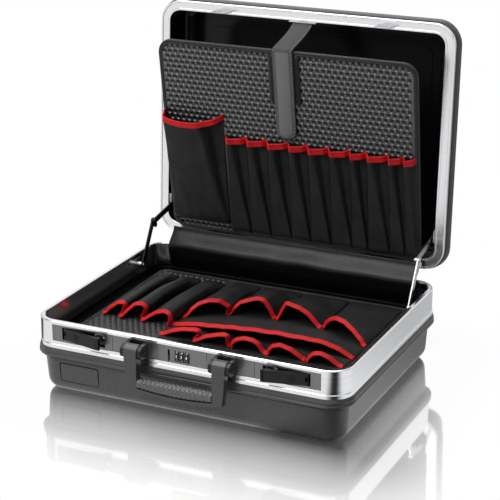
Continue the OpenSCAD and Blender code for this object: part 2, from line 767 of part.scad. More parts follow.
// The hook stops the other link when the lid is fully open
module stay_lower() translate([stay_lower_x, 0, 0]) link(stay_b, stay_k, link_t)
    translate([norm(stay_arm) - 4, -hook_reach]) {
        circle(d = 8);
        translate([-4, 0]) square([8, hook_reach]);
    }
module stay_upper() translate([stay_upper_x, 0, 0]) link(stay_k, stay_l, link_t);

module stay_lower_left() color([0.3, 0.3, 0.3]) mirror([1, 0, 0]) stay_lower();
module stay_lower_right() color([0.7, 0.7, 0.7]) stay_lower();
module stay_upper_left() color([0.3, 0.3, 0.3]) mirror([1, 0, 0]) stay_upper();
module stay_upper_right() color([0.7, 0.7, 0.7]) stay_upper();

// Pivot of the two links, fixed in the lower one
module stay_knuckle() translate([0, stay_k[0], stay_k[1]]) {
    rod(stay_upper_x - link_t / 2 - 0.2, stay_lower_x + link_t / 2 + 0.2, stay_pin_d);
    rod(stay_lower_x + link_t / 2 + 0.2, stay_lower_x + link_t / 2 + 1.2, stay_pin_d + 3);
    rod(stay_upper_x - link_t / 2 - 1.2, stay_upper_x - link_t / 2 - 0.2, stay_pin_d + 3);
}

module stay_knuckle_left() color([0.8, 0.8, 0.8]) mirror([1, 0, 0]) stay_knuckle();
module stay_knuckle_right() color([0.8, 0.8, 0.8]) stay_knuckle();

module stay_base_brackets() color([0.8, 0.8, 0.8]) both() {
    wall_x = half_w - frame_t;
    translate([wall_x - 2, stay_b[0], stay_b[1]]) rotate([90, 0, 90]) linear_extrude(2)
        rounded(26, 16, 4);
    translate([0, stay_b[0], stay_b[1]]) {
        rod(stay_lower_x + link_t / 2 + 0.3, wall_x - 1, stay_pin_d + 4);
        rod(stay_lower_x - link_t / 2 - 0.3, wall_x - 1, stay_pin_d);
        rod(stay_lower_x - link_t / 2 - 1.1, stay_lower_x - link_t / 2 - 0.3, stay_pin_d + 2);
    }
}

// Where the lid's pivot lies when the lid is shut
stay_shut = let (c = cos(open_angle), s = sin(open_angle))
    [hinge_y + stay_arm[0] * c - stay_arm[1] * s, hinge_z + stay_arm[0] * s + stay_arm[1] * c];

module stay_lid_brackets() color([0.8, 0.8, 0.8]) lid_place() both() {
    plate_x = stay_lower_x;
    translate([plate_x, stay_shut[0] - 9, lid_z + 3.4])
        cube([2, 18, stay_shut[1] - lid_z - 3.4]);
    translate([plate_x, stay_shut[0], stay_shut[1]]) rod(0, 2, 18);
    translate([plate_x, stay_shut[0] - 9, lid_z + 3.4]) cube([8.5, 18, 2]);
    translate([0, stay_shut[0], stay_shut[1]]) {
        rod(stay_upper_x + link_t / 2 + 0.3, plate_x + 1, stay_pin_d + 3);
        rod(stay_upper_x - link_t / 2 - 0.3, plate_x + 1, stay_pin_d);
        rod(stay_upper_x - link_t / 2 - 1.1, stay_upper_x - link_t / 2 - 0.3, stay_pin_d + 2);
    }
}

// ---------------------------------------------------------------- strap

strap_w = 28;
clamp_y = half_d - lid_frame_w;

module strap_clamp() color([0.8, 0.8, 0.8]) lid_place()
    translate([0, -clamp_y, lid_z]) difference() {
        translate([-21, 0, -3]) cube([42, 1.6, 11]);
        both() translate([17.5, -1, 2]) rotate([-90, 0, 0]) cylinder(d = 3, h = 4);
    }

function turn_open(y, z) = let (c = cos(open_angle), s = sin(open_angle))
    [hinge_y + (y - hinge_y) * c + (z - hinge_z) * s,
        hinge_z - (y - hinge_y) * s + (z - hinge_z) * c];
function on_board(off, up) = let (c = cos(board_lean), s = sin(board_lean))
    [lid_board_y + off * c - up * s, lid_board_z + off * s + up * c];

strap_tip = small_pocket_mouth + 8;
strap_end = lid_board_h - 1;
strap_off = -board_t / 2 - 3.6;
function strap_at(t) = on_board(strap_off, strap_end + t * (strap_tip - strap_end));
strap_root = turn_open(-clamp_y + 3, lid_z + 2);
strap_top = on_board(-board_t / 2 - 3.4, lid_board_h + 2);
strap_curves = [
    [strap_root, strap_root + [-14, -15], strap_top + [15, 6], strap_top],
    [strap_at(0), strap_at(0.34), strap_at(0.68), strap_at(1)]];

module strap() color([0.2, 0.2, 0.2]) bar(-strap_w / 2, strap_w / 2) band(strap_curves, 2.4, 8);

// ---------------------------------------------------------------- boards

module bound_edge(w, h, r, t) {
    linear_extrude(t) difference() {
        rounded(w, h, r);
        rounded(w - 2 * binding_w, h - 2 * binding_w, r - binding_w);
    }
}

lid_corner = 22;
base_corner = 16;

module lid_board() color([0.25, 0.25, 0.27]) lid_board_place()
    translate([0, board_t / 2, lid_board_h / 2]) rotate([90, 0, 0]) linear_extrude(board_t)
        rounded(lid_board_w - 2 * binding_w, lid_board_h - 2 * binding_w, lid_corner - binding_w);

module lid_board_binding() color([0.12, 0.12, 0.12]) lid_board_place()
    translate([0, board_t / 2 + 0.8, lid_board_h / 2]) rotate([90, 0, 0])
        bound_edge(lid_board_w, lid_board_h, lid_corner, board_t + 1.6);

// Pocket on the lid's board, sewn from a front that leans out towards its mouth,
// two gussets and a foot
module board_pocket(x0, x1, mouth, deep) {
    foot = pocket_foot;
    top_y = pocket_back - deep;
    foot_y = pocket_back - foot_deep;
    bar(x0, x1) polygon([[top_y, mouth], [top_y + pocket_t, mouth],
        [foot_y + pocket_t, foot], [foot_y, foot]]);
    for (x = [x0, x1 - pocket_t])
        bar(x, x + pocket_t) polygon([[pocket_back, mouth], [top_y + pocket_t + seam, mouth],
            [foot_y + pocket_t + seam, foot + pocket_t + seam], [pocket_back, foot + pocket_t + seam]]);
    bar(x0, x1) translate([foot_y + pocket_t + seam, foot])
        square([foot_deep - pocket_t - seam, pocket_t]);
}

module lid_big_pocket() color([0.1, 0.1, 0.1]) lid_board_place()
    board_pocket(big_x0, big_x0 + big_pocket_w, big_pocket_mouth, big_pocket_deep);

module lid_small_pockets() color([0.1, 0.1, 0.1]) lid_board_place()
    for (i = [0 : len(small_widths) - 1])
        board_pocket(small_edge(i) + 0.2, small_edge(i + 1) - 0.2, small_pocket_mouth,
            small_pocket_deep);

module mouth_trim(x0, x1, deep, mouth) {
    translate([x0, pocket_back - deep - 1.6, mouth - 8]) cube([x1 - x0, 1.5, 8]);
}

module lid_pocket_trims() color([0.75, 0.1, 0.12]) lid_board_place() {
    mouth_trim(big_x0, big_x0 + big_pocket_w, big_pocket_deep, big_pocket_mouth);
    for (i = [0 : len(small_widths) - 1])
        mouth_trim(small_edge(i) + 0.6, small_edge(i + 1) - 0.6, small_pocket_deep,
            small_pocket_mouth);
}

module hook_patch() color([0.06, 0.06, 0.06]) lid_board_place()
    translate([-24, lid_face - 1.6, small_pocket_mouth + 62])
        cube([48, 1.6, lid_board_h - small_pocket_mouth - 70]);

module base_board_place() {
    translate([0, base_board_back - base_board_d / 2, base_board_z]) children();
}

module base_board() color([0.25, 0.25, 0.27]) base_board_place() linear_extrude(board_t)
    rounded(base_board_w - 2 * binding_w, base_board_d - 2 * binding_w, base_corner - binding_w);

module base_board_binding() color([0.12, 0.12, 0.12]) base_board_place()
    bound_edge(base_board_w, base_board_d, base_corner, board_t + 0.8);

// Pocket on the base's board, sewn from a roof that slopes back from its mouth,
// two gussets and a back
module floor_pocket(p) {
    front = p[2];
    back = p[2] + p[3];
    top = base_face + p[4];
    low = base_face + 3;
    under = pocket_t + seam;
    bar(p[0], p[1]) polygon([[front, top - pocket_t], [front, top], [back, low],
        [back, low - pocket_t]]);
    for (x = [p[0], p[1] - pocket_t])
        bar(x, x + pocket_t) polygon([[front, base_face + seam], [front, top - under],
            [back - under, low - under + under * (top - low) / (back - front)],
            [back - under, base_face + seam]]);
    bar(p[0], p[1]) translate([back - pocket_t, base_face + seam])
        square([pocket_t, low - base_face - under - seam]);
}

module floor_pockets(list) {
    for (p = list) floor_pocket(p);
}

module base_left_pockets() color([0.1, 0.1, 0.1]) floor_pockets(left_pockets);
module base_rear_pockets() color([0.1, 0.1, 0.1]) floor_pockets(rear_pockets);
module base_strip_pocket() color([0.1, 0.1, 0.1]) floor_pockets(strip_pockets);
module base_front_pockets() color([0.1, 0.1, 0.1]) floor_pockets(front_pockets);

module base_pocket_trims() color([0.75, 0.1, 0.12])
    for (p = concat(left_pockets, rear_pockets, strip_pockets, front_pockets))
        translate([p[0] + 0.6, p[2] - 1.6, base_face + p[4] - 6]) cube([p[1] - p[0] - 1.2, 1.5, 6]);

// Ledges along both side walls that the base's board lies on
module board_supports() color([0.12, 0.12, 0.12]) both() {
    edge_x = base_board_w / 2 - 8;
    translate([edge_x, -half_d + 40, base_board_z - 3])
        cube([inside_x - edge_x, case_d - 90, 3]);
    translate([inside_x - 2, -half_d + 40, frame_z - 22])
        cube([2, case_d - 90, base_board_z - frame_z + 19]);
}

base_shell();
base_frame();
lock_plate_left();
lock_plate_right();
handle_plate_left();
handle_plate_right();
combination_plate();
combination_housing();
dial_axle();
dial_1();
dial_2();
dial_3();
lock_slider();
latch_pins();
latch_springs();
latch_lever_left();
latch_lever_right();
latch_tongue_left();
latch_tongue_right();
key_cylinder_left();
key_cylinder_right();
handle();
handle_grip_pad();
handle_pins();
board_supports();
hinge_base_leaves();
hinge_pins();
hinge_base_rivets();
hinge_flap();
stay_base_brackets();
stay_lower_left();
stay_lower_right();
stay_upper_left();
stay_upper_right();
stay_knuckle_left();
stay_knuckle_right();
lid_shell();
lid_frame();
catch_tabs();
hinge_lid_leaves();
hinge_lid_rivets();
stay_lid_brackets();
strap_clamp();
strap();
lid_board();
lid_board_binding();
lid_big_pocket();
lid_small_pockets();
lid_pocket_trims();
hook_patch();
base_board();
base_board_binding();
base_left_pockets();
base_rear_pockets();
base_strip_pocket();
base_front_pockets();
base_pocket_trims();
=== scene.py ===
import json
import math

import bmesh
import bpy
import numpy as np
from bpy.props import FloatProperty, FloatVectorProperty, PointerProperty
from bpy.types import Operator, Panel, PropertyGroup
from mathutils import Matrix, Vector, noise


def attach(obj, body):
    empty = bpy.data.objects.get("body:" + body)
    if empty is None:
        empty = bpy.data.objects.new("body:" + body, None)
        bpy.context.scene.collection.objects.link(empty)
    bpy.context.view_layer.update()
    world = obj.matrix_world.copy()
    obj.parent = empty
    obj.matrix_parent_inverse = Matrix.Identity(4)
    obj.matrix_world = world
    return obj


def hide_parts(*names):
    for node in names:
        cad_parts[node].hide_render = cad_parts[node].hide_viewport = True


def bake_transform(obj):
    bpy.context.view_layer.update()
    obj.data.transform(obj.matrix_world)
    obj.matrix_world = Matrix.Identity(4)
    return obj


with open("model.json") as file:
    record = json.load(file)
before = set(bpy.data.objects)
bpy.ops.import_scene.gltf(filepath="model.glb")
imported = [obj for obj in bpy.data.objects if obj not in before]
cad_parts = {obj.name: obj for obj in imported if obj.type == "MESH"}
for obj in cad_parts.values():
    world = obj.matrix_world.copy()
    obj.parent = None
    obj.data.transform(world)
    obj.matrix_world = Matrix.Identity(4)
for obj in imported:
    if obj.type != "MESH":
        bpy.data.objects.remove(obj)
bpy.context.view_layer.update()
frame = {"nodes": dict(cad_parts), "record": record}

MM = 0.001

bl_info = {
    "name": "Hard tool case finish",
    "version": (1, 0, 0),
    "blender": (4, 5, 0),
    "location": "3D View > Sidebar > Tool case",
    "description": "Finishes an open hard tool case around its fixed frame",
    "category": "Object",
}


# ---------------------------------------------------------------- places on the case

# In metres, for the finishes
OPEN = math.radians(93.5)  # how far the lid stands open
HINGE = (0.192, 0.109)  # the hinge's (y, z)
FOOTPRINT = (0.225, 0.172)  # half width and half depth of the case on the floor
STRAP_BEND = 0.434  # above this the strap turns back over the board, towards its clamp, and its colour is painted near black as painted shade

# In millimetres, for the shapes
LEAN = math.radians(8.0)  # of the lid's board
BOARD_FOOT = np.array((0.0, 188.5, 134.0))
BOARD_UP = np.array((0.0, -math.sin(LEAN), math.cos(LEAN)))
BOARD_OUT = np.array((0.0, -math.cos(LEAN), -math.sin(LEAN)))
BOARD_FRONT = 2.5  # from the board's middle plane to its face
BOARD_THICK = 5
LID_BOARD = (405, 306, 22)  # width, height and corner radius
BASE_BOARD = (412, 304, 16)
BASE_TOP = 73.0  # height of the base board's face
HANDLE_AXIS = (-194.5, 93.0)  # (y, z)
DIAL_AXIS = (-169.5, 90.0)  # (y, z)


def on_lid_board(points):
    """Turns (x, height, out from the front face) into places on the lid's board."""
    p = np.asarray(points, float)
    place = BOARD_FOOT + p[..., 1:2] * BOARD_UP + (p[..., 2:3] + BOARD_FRONT) * BOARD_OUT
    place[..., 0] = p[..., 0]
    return place


def on_base_board(points):
    """Turns (x, y, out from the top face) into places on the base's board."""
    return np.asarray(points, float) + (0.0, 0.0, BASE_TOP)


def up_base_board(points):
    """As on_base_board, with y counted from the board's front edge."""
    return on_base_board(np.asarray(points, float) - (0.0, BASE_BOARD[1] / 2, 0.0))


def beside_lid_board(off, up):
    """A (y, z) place, off behind the lid board's middle plane and up along it."""
    c, s = math.cos(LEAN), math.sin(LEAN)
    return (BOARD_FOOT[1] + off * c - up * s, BOARD_FOOT[2] + off * s + up * c)


# ---------------------------------------------------------------- finishes


class Signal:
    """A shader value that takes part in ordinary arithmetic."""

    def __init__(self, finish, socket):
        self.finish = finish
        self.socket = socket

    def step(self, operation, *values):
        return self.finish.add(
            "ShaderNodeMath", {"operation": operation}, dict(enumerate(values))
        )

    def __add__(self, other):
        return self.step("ADD", self, other)

    def __radd__(self, other):
        return self.step("ADD", other, self)

    def __sub__(self, other):
        return self.step("SUBTRACT", self, other)

    def __rsub__(self, other):
        return self.step("SUBTRACT", other, self)

    def __mul__(self, other):
        return self.step("MULTIPLY", self, other)

    def __rmul__(self, other):
        return self.step("MULTIPLY", other, self)

    def __truediv__(self, other):
        return self.step("DIVIDE", self, other)

    def __rtruediv__(self, other):
        return self.step("DIVIDE", other, self)

    def __pow__(self, other):
        return self.step("POWER", self, other)

    def __rpow__(self, other):
        return self.step("POWER", other, self)

    def __gt__(self, other):
        return self.step("GREATER_THAN", self, other)

    def __lt__(self, other):
        return self.step("LESS_THAN", self, other)

    def sine(self):
        return self.step("SINE", self)

    def size(self):
        return self.step("ABSOLUTE", self)

    def above(self, least):
        return self.step("MAXIMUM", self, least)

    def clamp(self):
        return self.step("MINIMUM", self.above(0.0), 1.0)


class Finish:
    """The node tree of one surface finish, or of the studio's surroundings."""

    def __init__(self, name, owner=None):
        self.material = owner or bpy.data.materials.new(name)
        self.material.use_nodes = True
        self.tree = self.material.node_tree
        self.tree.nodes.clear()

    def add(self, kind, settings=None, inputs=None, output=0):
        """Adds one node: its settings first, then the values or links of its sockets."""
        node = self.tree.nodes.new(kind)
        for name, value in (settings or {}).items():
            setattr(node, name, value)
        for name, value in (inputs or {}).items():
            if isinstance(value, Signal):
                self.tree.links.new(value.socket, node.inputs[name])
            elif value is not None:
                node.inputs[name].default_value = value
        return Signal(self, node.outputs[output]) if node.outputs else None

    def place(self):
        return self.add("ShaderNodeTexCoord", output="Object")

    def axes(self):
        """The three parts of a point on the object, in metres."""
        return self.parts(self.place())

    def place_around(self):
        """The three parts of a direction into the surroundings."""
        return self.parts(self.add("ShaderNodeTexCoord", output="Generated"))

    def parts(self, vector):
        return [self.add("ShaderNodeSeparateXYZ", inputs={0: vector}, output=k) for k in "XYZ"]

    def stretched(self, scale):
        """Points on the object, scaled by a different amount along each axis."""
        return self.add(
            "ShaderNodeVectorMath", {"operation": "MULTIPLY"}, {0: self.place(), 1: scale}
        )

    def noise(self, scale, detail=3.0, roughness=0.55, along=None):
        where = self.stretched(along) if along else self.place()
        return self.add(
            "ShaderNodeTexNoise",
            inputs={"Vector": where, "Scale": scale, "Detail": detail, "Roughness": roughness},
        )

    def pebbles(self, scale):
        """Distance to the nearest of many scattered points, for leather grain."""
        return self.add(
            "ShaderNodeTexVoronoi",
            {"feature": "DISTANCE_TO_EDGE"},
            {"Vector": self.place(), "Scale": scale},
        )

    def mix(self, amount, first, second):
        """Mixes two colours; a Mix node's colour sockets go by number."""
        return self.add(
            "ShaderNodeMix",
            {"data_type": "RGBA"},
            {0: amount, 6: opaque(first), 7: opaque(second)},
            output=2,
        )

    def edge(self, radius):
        """The normal of a surface whose sharp edges are broken by a small radius."""
        return self.add("ShaderNodeBevel", {"samples": 4}, {"Radius": radius})

    def seen_rays(self):
        """1 for rays that the eye, a mirror or clear glass sends out, 0 for the rest."""
        eye, mirror, glass = [
            self.rays(kind) for kind in ("Is Camera Ray", "Is Glossy Ray", "Is Transmission Ray")
        ]
        return (eye + mirror + glass).clamp()

    def rays(self, kind):
        return self.add("ShaderNodeLightPath", output=kind)

    def bump(self, height, distance, strength=1.0, normal=None):
        return self.add(
            "ShaderNodeBump",
            inputs={
                "Height": height,
                "Distance": distance,
                "Strength": strength,
                "Normal": normal,
            },
        )

    def surface(self, **sockets):
        """A surface shader; names use _ for a space."""
        values = {}
        for name, value in sockets.items():
            label = name.replace("_", " ").title().replace("Ior", "IOR")
            values[label] = opaque(value) if isinstance(value, (tuple, list)) else value
        return self.add("ShaderNodeBsdfPrincipled", inputs=values)

    def blend(self, amount, first, second):
        return self.add("ShaderNodeMixShader", inputs={0: amount, 1: first, 2: second})

    def close(self, shader, kind="ShaderNodeOutputMaterial"):
        self.add(kind, inputs={"Surface": shader})
        return self.material

    def shade(self, **sockets):
        """Ends the tree with one surface shader."""
        return self.close(self.surface(**sockets))


def opaque(color):
    """A colour with its alpha; a signal stays as it is."""
    return color if isinstance(color, Signal) else (*color[:3], 1.0)


def grey(level):
    return (level, level, level)


def scaled(color, share):
    return tuple(share * c for c in color)


def brushed(name, *look):
    """Metal with fine lines."""
    f = Finish(name)
    return f.close(lined_metal(f, *look))


def lined_metal(f, color, rough, lines, contrast=0.2, radius=0.0004):
    """Lined metal; lines holds the noise scale along each axis."""
    line = f.noise(1.0, 2.0, 0.6, along=lines)
    broad = f.noise(0.18, 1.0, 0.5, along=lines)
    darker = scaled(color, 1 - contrast)
    return f.surface(
        base_color=f.mix((line * 1.4 + broad * 0.8 - 0.6).clamp(), darker, color),
        metallic=1.0,
        roughness=rough + (line - 0.5) * 0.16,
        normal=f.bump(line, 0.00002, 0.5, f.edge(radius)),
    )


def moulded(name, *look, **more):
    """Moulded plastic with a fine grain."""
    f = Finish(name)
    return f.close(plastic(f, *look, **more))


def plastic(f, color, rough, grain, depth, shine=0.3, coat=0.0, radius=0.0006):
    """Plastic with a grain of a noise scale and a depth; radius breaks its edges."""
    fine = f.noise(grain, 3.0, 0.6)
    cloud = f.noise(14.0, 2.0)
    lighter = tuple(1.5 * c + 0.001 for c in color)
    return f.surface(
        base_color=f.mix(fine * 0.5 + cloud * 0.4, color, lighter),
        roughness=rough + (fine - 0.5) * 0.14,
        specular_ior_level=shine,
        coat_weight=coat,
        coat_roughness=0.1,
        normal=f.bump(fine, depth, 0.6, f.edge(radius)),
    )


def shell_plastic(name, color):
    """Grained outside; polished inside the lid and above the base's tool board, with its colour
    there painted near black as painted shade.

    The inside is what lies inside a box that is a little smaller than the shell. For the
    open lid, the place is first turned back to where it is with the lid shut."""
    f = Finish(name)
    x, y, z = f.axes()
    c, s = math.cos(OPEN), math.sin(OPEN)
    back, high = y - HINGE[0], z - HINGE[1]
    lid_y, lid_z = back * c - high * s + HINGE[0], back * s + high * c + HINGE[1]
    split = 0.13  # all of the open lid is above this, all of the base below
    arc_z, arc, draft = 0.156, 0.01625, 0.04  # the lid's round edge and its wall's slope
    over, below = (lid_z - arc_z).above(0.0), (arc_z - lid_z).above(0.0)
    reach = (arc ** 2 - over * over).above(0.0) ** 0.5 + below * draft
    lid_top, flat_x, flat_y = 0.1722, 0.2071, 0.1546
    in_lid = within(x, lid_y, reach + flat_x, reach + flat_y) * (lid_z < lid_top) * (z > split)
    wall_x, wall_y, ledge = 0.2272, 0.1752, 0.060
    in_base = within(x, y, wall_x, wall_y) * (z > ledge) * (z < split)
    outside = plastic(f, color, 0.27, 800.0, 0.0001, shine=0.42)
    # painted shade: the same plastic inside, painted near black
    inside = plastic(f, grey(0.003), 0.16, 300.0, 0.00002, shine=0.16)
    return f.close(f.blend((in_lid + in_base).clamp(), outside, inside))


def within(x, y, half_x, half_y, corner=0.028):
    """1 inside a rectangle with round corners, seen from above."""
    dx = (x.size() - (half_x - corner)).above(0.0)
    dy = (y.size() - (half_y - corner)).above(0.0)
    return dx * dx + dy * dy < corner * corner


def window_metal(name, color, rough, lines, dark, contrast=0.2):
    """Lined metal that turns black where dark(x, y, z) is 1: black plastic where the plates stand
    out, painted shade in the frame's window.
    """
    f = Finish(name)
    metal = lined_metal(f, color, rough, lines, contrast)
    black = plastic(f, grey(0.004), 0.25, 900.0, 0.00002)
    return f.close(f.blend(dark(*f.axes()), metal, black))


def in_window(x, y, z):
    """The back wall of the long window in the base frame's front, painted black as painted shade.
    """
    front, rear, foot, head, half = -0.1768, -0.1735, 0.0795, 0.1045, 0.2
    return (y > front) * (y < rear) * (z > foot) * (z < head) * (x.size() < half)


def before_frame(x, y, z):
    """What of the plates stands out of the base frame's front."""
    frame_front = -0.1794
    return y < frame_front


def leather(name, color, rough, grain=700.0, depth=0.00025, shine=0.4):
    """Pebbled leatherette."""
    f = Finish(name)
    crease = (f.pebbles(grain) * 5.0).clamp()
    cloud = f.noise(30.0, 3.0)
    darker = scaled(color, 0.55)
    return f.shade(
        base_color=f.mix(crease * 0.7 + cloud * 0.3, darker, color),
        roughness=rough + (cloud - 0.5) * 0.15,
        specular_ior_level=shine,
        normal=f.bump(crease * 0.8 + f.noise(grain * 2, 2.0) * 0.2, depth, 0.7),
    )


def stitched_leather(name, color, rough):
    """Strap leather: a lighter middle panel, margins painted darker as painted shade of its rounded
    edges, a line of thread in each margin, and above the bend a colour painted near black as
    painted shade.
    """
    f = Finish(name)
    x, y, z = f.axes()
    off = x.size()
    panel_half, seam_at, seam_half, stitch = 0.0105, 0.0131, 0.0007, 0.0042
    # painted shade: above the bend, where the strap lies in the lid's shade, it is painted near
    # black and made rougher
    upper = ((z - STRAP_BEND) / 0.004).clamp()
    panel = ((panel_half - off) / 0.0008).clamp() * (1.0 - upper)
    seam = (1.0 - (off - seam_at).size() / seam_half).clamp()
    thread = seam * (((z + y) * (2 * math.pi / stitch)).sine() > -0.3)
    cloud = f.noise(60.0, 4.0)
    dark = scaled(color, 0.45)
    # painted shade: the margins darker than the panel, and near black above the bend
    base = f.mix(upper, f.mix(panel, dark, color), scaled(color, 0.1))
    base = f.mix(cloud * 0.25, base, dark)
    return f.shade(
        base_color=f.mix(thread, base, scaled(color, 2.0)),
        roughness=rough + (cloud - 0.5) * 0.15 + upper * 0.3,
        specular_ior_level=0.5,
        normal=f.bump(cloud * 0.6 + panel * 0.5 - seam * 0.8, 0.0006, 0.7),
    )


def woven(name, color, thread=0.0008, sheen=0.0):
    """Plain weave whose threads run along the three axes."""
    f = Finish(name)
    x, y, z = f.axes()
    turn = 2 * math.pi / thread
    across = (x * turn).sine()
    along = ((y + z) * turn).sine()
    weave = across * along * 0.5 + 0.5
    cloud = f.noise(38.0, 5.0, 0.65)
    darker = scaled(color, 0.2)
    return f.shade(
        base_color=f.mix((weave * 0.3 + (cloud - 0.32) * 2.2).clamp(), darker, color),
        roughness=0.55,
        specular_ior_level=0.3,
        sheen_weight=sheen,
        sheen_roughness=0.4,
        normal=f.bump(weave + cloud * 6.0, 0.0004, 0.7),
    )


def tape(name, color):
    """Ribbed edge tape."""
    f = Finish(name)
    x, y, z = f.axes()
    pitch = 0.0012
    rib = ((x + y * 0.6) * (2 * math.pi / pitch)).sine() * 0.5 + 0.5
    cloud = f.noise(60.0, 3.0)
    darker = scaled(color, 0.6)
    return f.shade(
        base_color=f.mix(rib * 0.5 + cloud * 0.5, darker, color),
        roughness=0.5,
        specular_ior_level=0.2,
        normal=f.bump(rib, 0.0002, 0.5),
    )


# ---------------------------------------------------------------- settings


class CaseColors(PropertyGroup):
    """Colours of the case"""

    frame: FloatVectorProperty(
        name="Frame metal", description="Drawn aluminium of the frames",
        default=(0.80, 0.81, 0.83), subtype="COLOR", min=0, max=1)
    plate: FloatVectorProperty(
        name="Lock plates", description="Brushed plates in the window",
        default=(0.23, 0.23, 0.235), subtype="COLOR", min=0, max=1)
    shell: FloatVectorProperty(
        name="Shells", description="Moulded plastic shells",
        default=(0.040, 0.040, 0.041), subtype="COLOR", min=0, max=1)
    cloth: FloatVectorProperty(
        name="Pocket cloth", description="Woven cloth of the pockets",
        default=(0.0165, 0.0165, 0.0168), subtype="COLOR", min=0, max=1)
    board: FloatVectorProperty(
        name="Tool boards", description="Punched leatherette of both tool boards",
        default=(0.037, 0.037, 0.038), subtype="COLOR", min=0, max=1)
    tape: FloatVectorProperty(
        name="Pocket tape", description="Tape along the pocket mouths",
        default=(0.62, 0.012, 0.016), subtype="COLOR", min=0, max=1)
    strap: FloatVectorProperty(
        name="Strap", description="Leather of the strap",
        default=(0.125, 0.125, 0.128), subtype="COLOR", min=0, max=1)


class CaseSizes(PropertyGroup):
    """Sizes of what is sewn, punched and printed on the case"""

    dimple_pitch: FloatProperty(
        name="Dimple pitch", description="Between neighbouring dimples of the tool boards",
        default=0.0092, unit="LENGTH", min=0.009)
    board_stitch: FloatProperty(
        name="Board stitches", description="From stitch to stitch round the tool boards",
        default=0.0044, unit="LENGTH", min=0.0035)
    lid_tape: FloatProperty(
        name="Lid pocket tape", description="Height of the tape on the lid's small pockets",
        default=0.009, unit="LENGTH", min=0.003)
    big_tape: FloatProperty(
        name="Big pocket tape", description="Height of the tape on the lid's big pocket",
        default=0.0085, unit="LENGTH", min=0.003)
    base_tape: FloatProperty(
        name="Base pocket tape", description="Height of the tape on the base's pockets",
        default=0.006, unit="LENGTH", min=0.003)
    strap_width: FloatProperty(
        name="Strap width", description="Across the strap that holds the lid's board",
        default=0.0315, unit="LENGTH", min=0.028, max=0.034)
    diamond: FloatProperty(
        name="Grip diamonds", description="Pitch of the raised diamonds on the handle",
        default=0.0064, unit="LENGTH", min=0.003)
    number_height: FloatProperty(
        name="Dial numbers", description="Font size of the numbers on the dials",
        default=0.0054, unit="LENGTH", min=0.003, max=0.0065)


class StudioSizes(PropertyGroup):
    """Where the camera stands"""

    distance: FloatProperty(
        name="Camera distance", description="From the camera to the point it looks at",
        default=2.2972, unit="LENGTH", min=0.5)
    lens: FloatProperty(
        name="Lens", description="Focal length on a 36 mm sensor", default=118.7, min=20,
        unit="CAMERA")
    azimuth: FloatProperty(
        name="Azimuth", description="Turn of the camera to the right of the front",
        default=math.radians(25.37), unit="ROTATION")
    elevation: FloatProperty(
        name="Elevation", description="Height angle of the camera",
        default=math.radians(19.655), unit="ROTATION")
    roll: FloatProperty(
        name="Roll", description="Roll of the camera", default=math.radians(-0.222),
        unit="ROTATION")


# ---------------------------------------------------------------- stage


class TOOLCASE_OT_stage(Operator):
    """Sets up the floor, the lights and the camera"""

    bl_idname = "toolcase.stage"
    bl_label = "Stage"

    def execute(self, context):
        lay_floor()
        hang_lights()
        light_world(context.scene)
        aim_camera(context.scene)
        context.scene.view_settings.view_transform = "Standard"
        return {"FINISHED"}


# Dark screens that mirrors see on the floor: turn from the front, half width (degrees), depth
SCREENS = ((46, 11, 1.0), (150, 45, 0.42), (-80, 8, 1.0))
LAMPS = (  # place, what it points at, width, height, power
    ("top_light", (-0.35, -0.05, 1.9), (0.0, 0.0, 0.1), 2.0, 1.5, 32.0),
    ("left_light", (-1.9, -0.9, 1.3), (0.0, 0.0, 0.15), 0.8, 1.3, 16.0),
    ("front_light", (-1.1, -2.1, 1.3), (0.0, 0.0, 0.2), 2.4, 1.8, 20.0),
    ("glint_light", (-0.7, -1.5, 2.0), (0.0, 0.16, 0.33), 1.3, 0.8, 13.0),
    ("right_light", (2.0, 0.1, 0.9), (0.0, 0.0, 0.15), 0.6, 1.3, 1.0),
)
SEEN_IN_GLOSS = ("top_light", "glint_light")


def lay_floor():
    """A white floor that mirrors the case close to its foot, less and less further out."""
    size = 12.0
    blurred = 1.5  # half widths from a screen's middle to where it has faded out
    glow, more_glow = 0.84, 1.2  # at the case, and what each metre away from it adds
    mirror_ends = 0.225  # this far from the case
    mirror, more_mirror = 0.40, 0.56  # just inside that, and what the way to the case adds
    mesh = bpy.data.meshes.new("floor")
    mesh.from_pydata(
        [(-size, -size, 0), (size, -size, 0), (size, size, 0), (-size, size, 0)],
        [], [(0, 1, 2, 3)])
    floor = bpy.data.objects.new("floor", mesh)
    bpy.context.collection.objects.link(floor)
    f = Finish("pale_floor")
    x, y, z = f.axes()
    beside = (x.size() - FOOTPRINT[0]).above(0.0)
    before = (y.size() - FOOTPRINT[1]).above(0.0)
    away = (beside * beside + before * before) ** 0.5
    sheet = f.surface(base_color=grey(0.66), roughness=0.5, specular_ior_level=0.2)
    around = x.step("ARCTAN2", x, y * -1.0)
    screens = 0.0
    for turn, wide, depth in SCREENS:
        off = (around - math.radians(turn)).size() / math.radians(wide)
        screens = screens + (blurred - off).clamp() * depth
    mirrored = f.rays("Is Glossy Ray")
    level = f.mix((mirrored * screens).clamp(), grey(1.0), grey(0.02))
    shining = f.add("ShaderNodeEmission", inputs={"Color": level})
    share = (glow + away * more_glow + mirrored).clamp()
    lit = f.blend(f.seen_rays() * share, sheet, shining)
    gloss = f.surface(base_color=grey(1.0), metallic=1.0, roughness=0.05)
    near = (1.0 - away / mirror_ends).clamp() * (1.0 - mirrored)
    mesh.materials.append(f.close(f.blend(near * (mirror + near * more_mirror), lit, gloss)))


def hang_lights():
    """Large soft lamps, of which only two show in gloss."""
    for name, place, target, width, height, power in LAMPS:
        light = bpy.data.lights.new(name, "AREA")
        light.shape = "RECTANGLE"
        light.size = width
        light.size_y = height
        light.energy = power
        lamp = bpy.data.objects.new(name, light)
        lamp.visible_glossy = name in SEEN_IN_GLOSS
        lamp.location = place
        aim = Vector(target) - Vector(place)
        lamp.rotation_euler = aim.to_track_quat("-Z", "Y").to_euler()
        bpy.context.collection.objects.link(lamp)


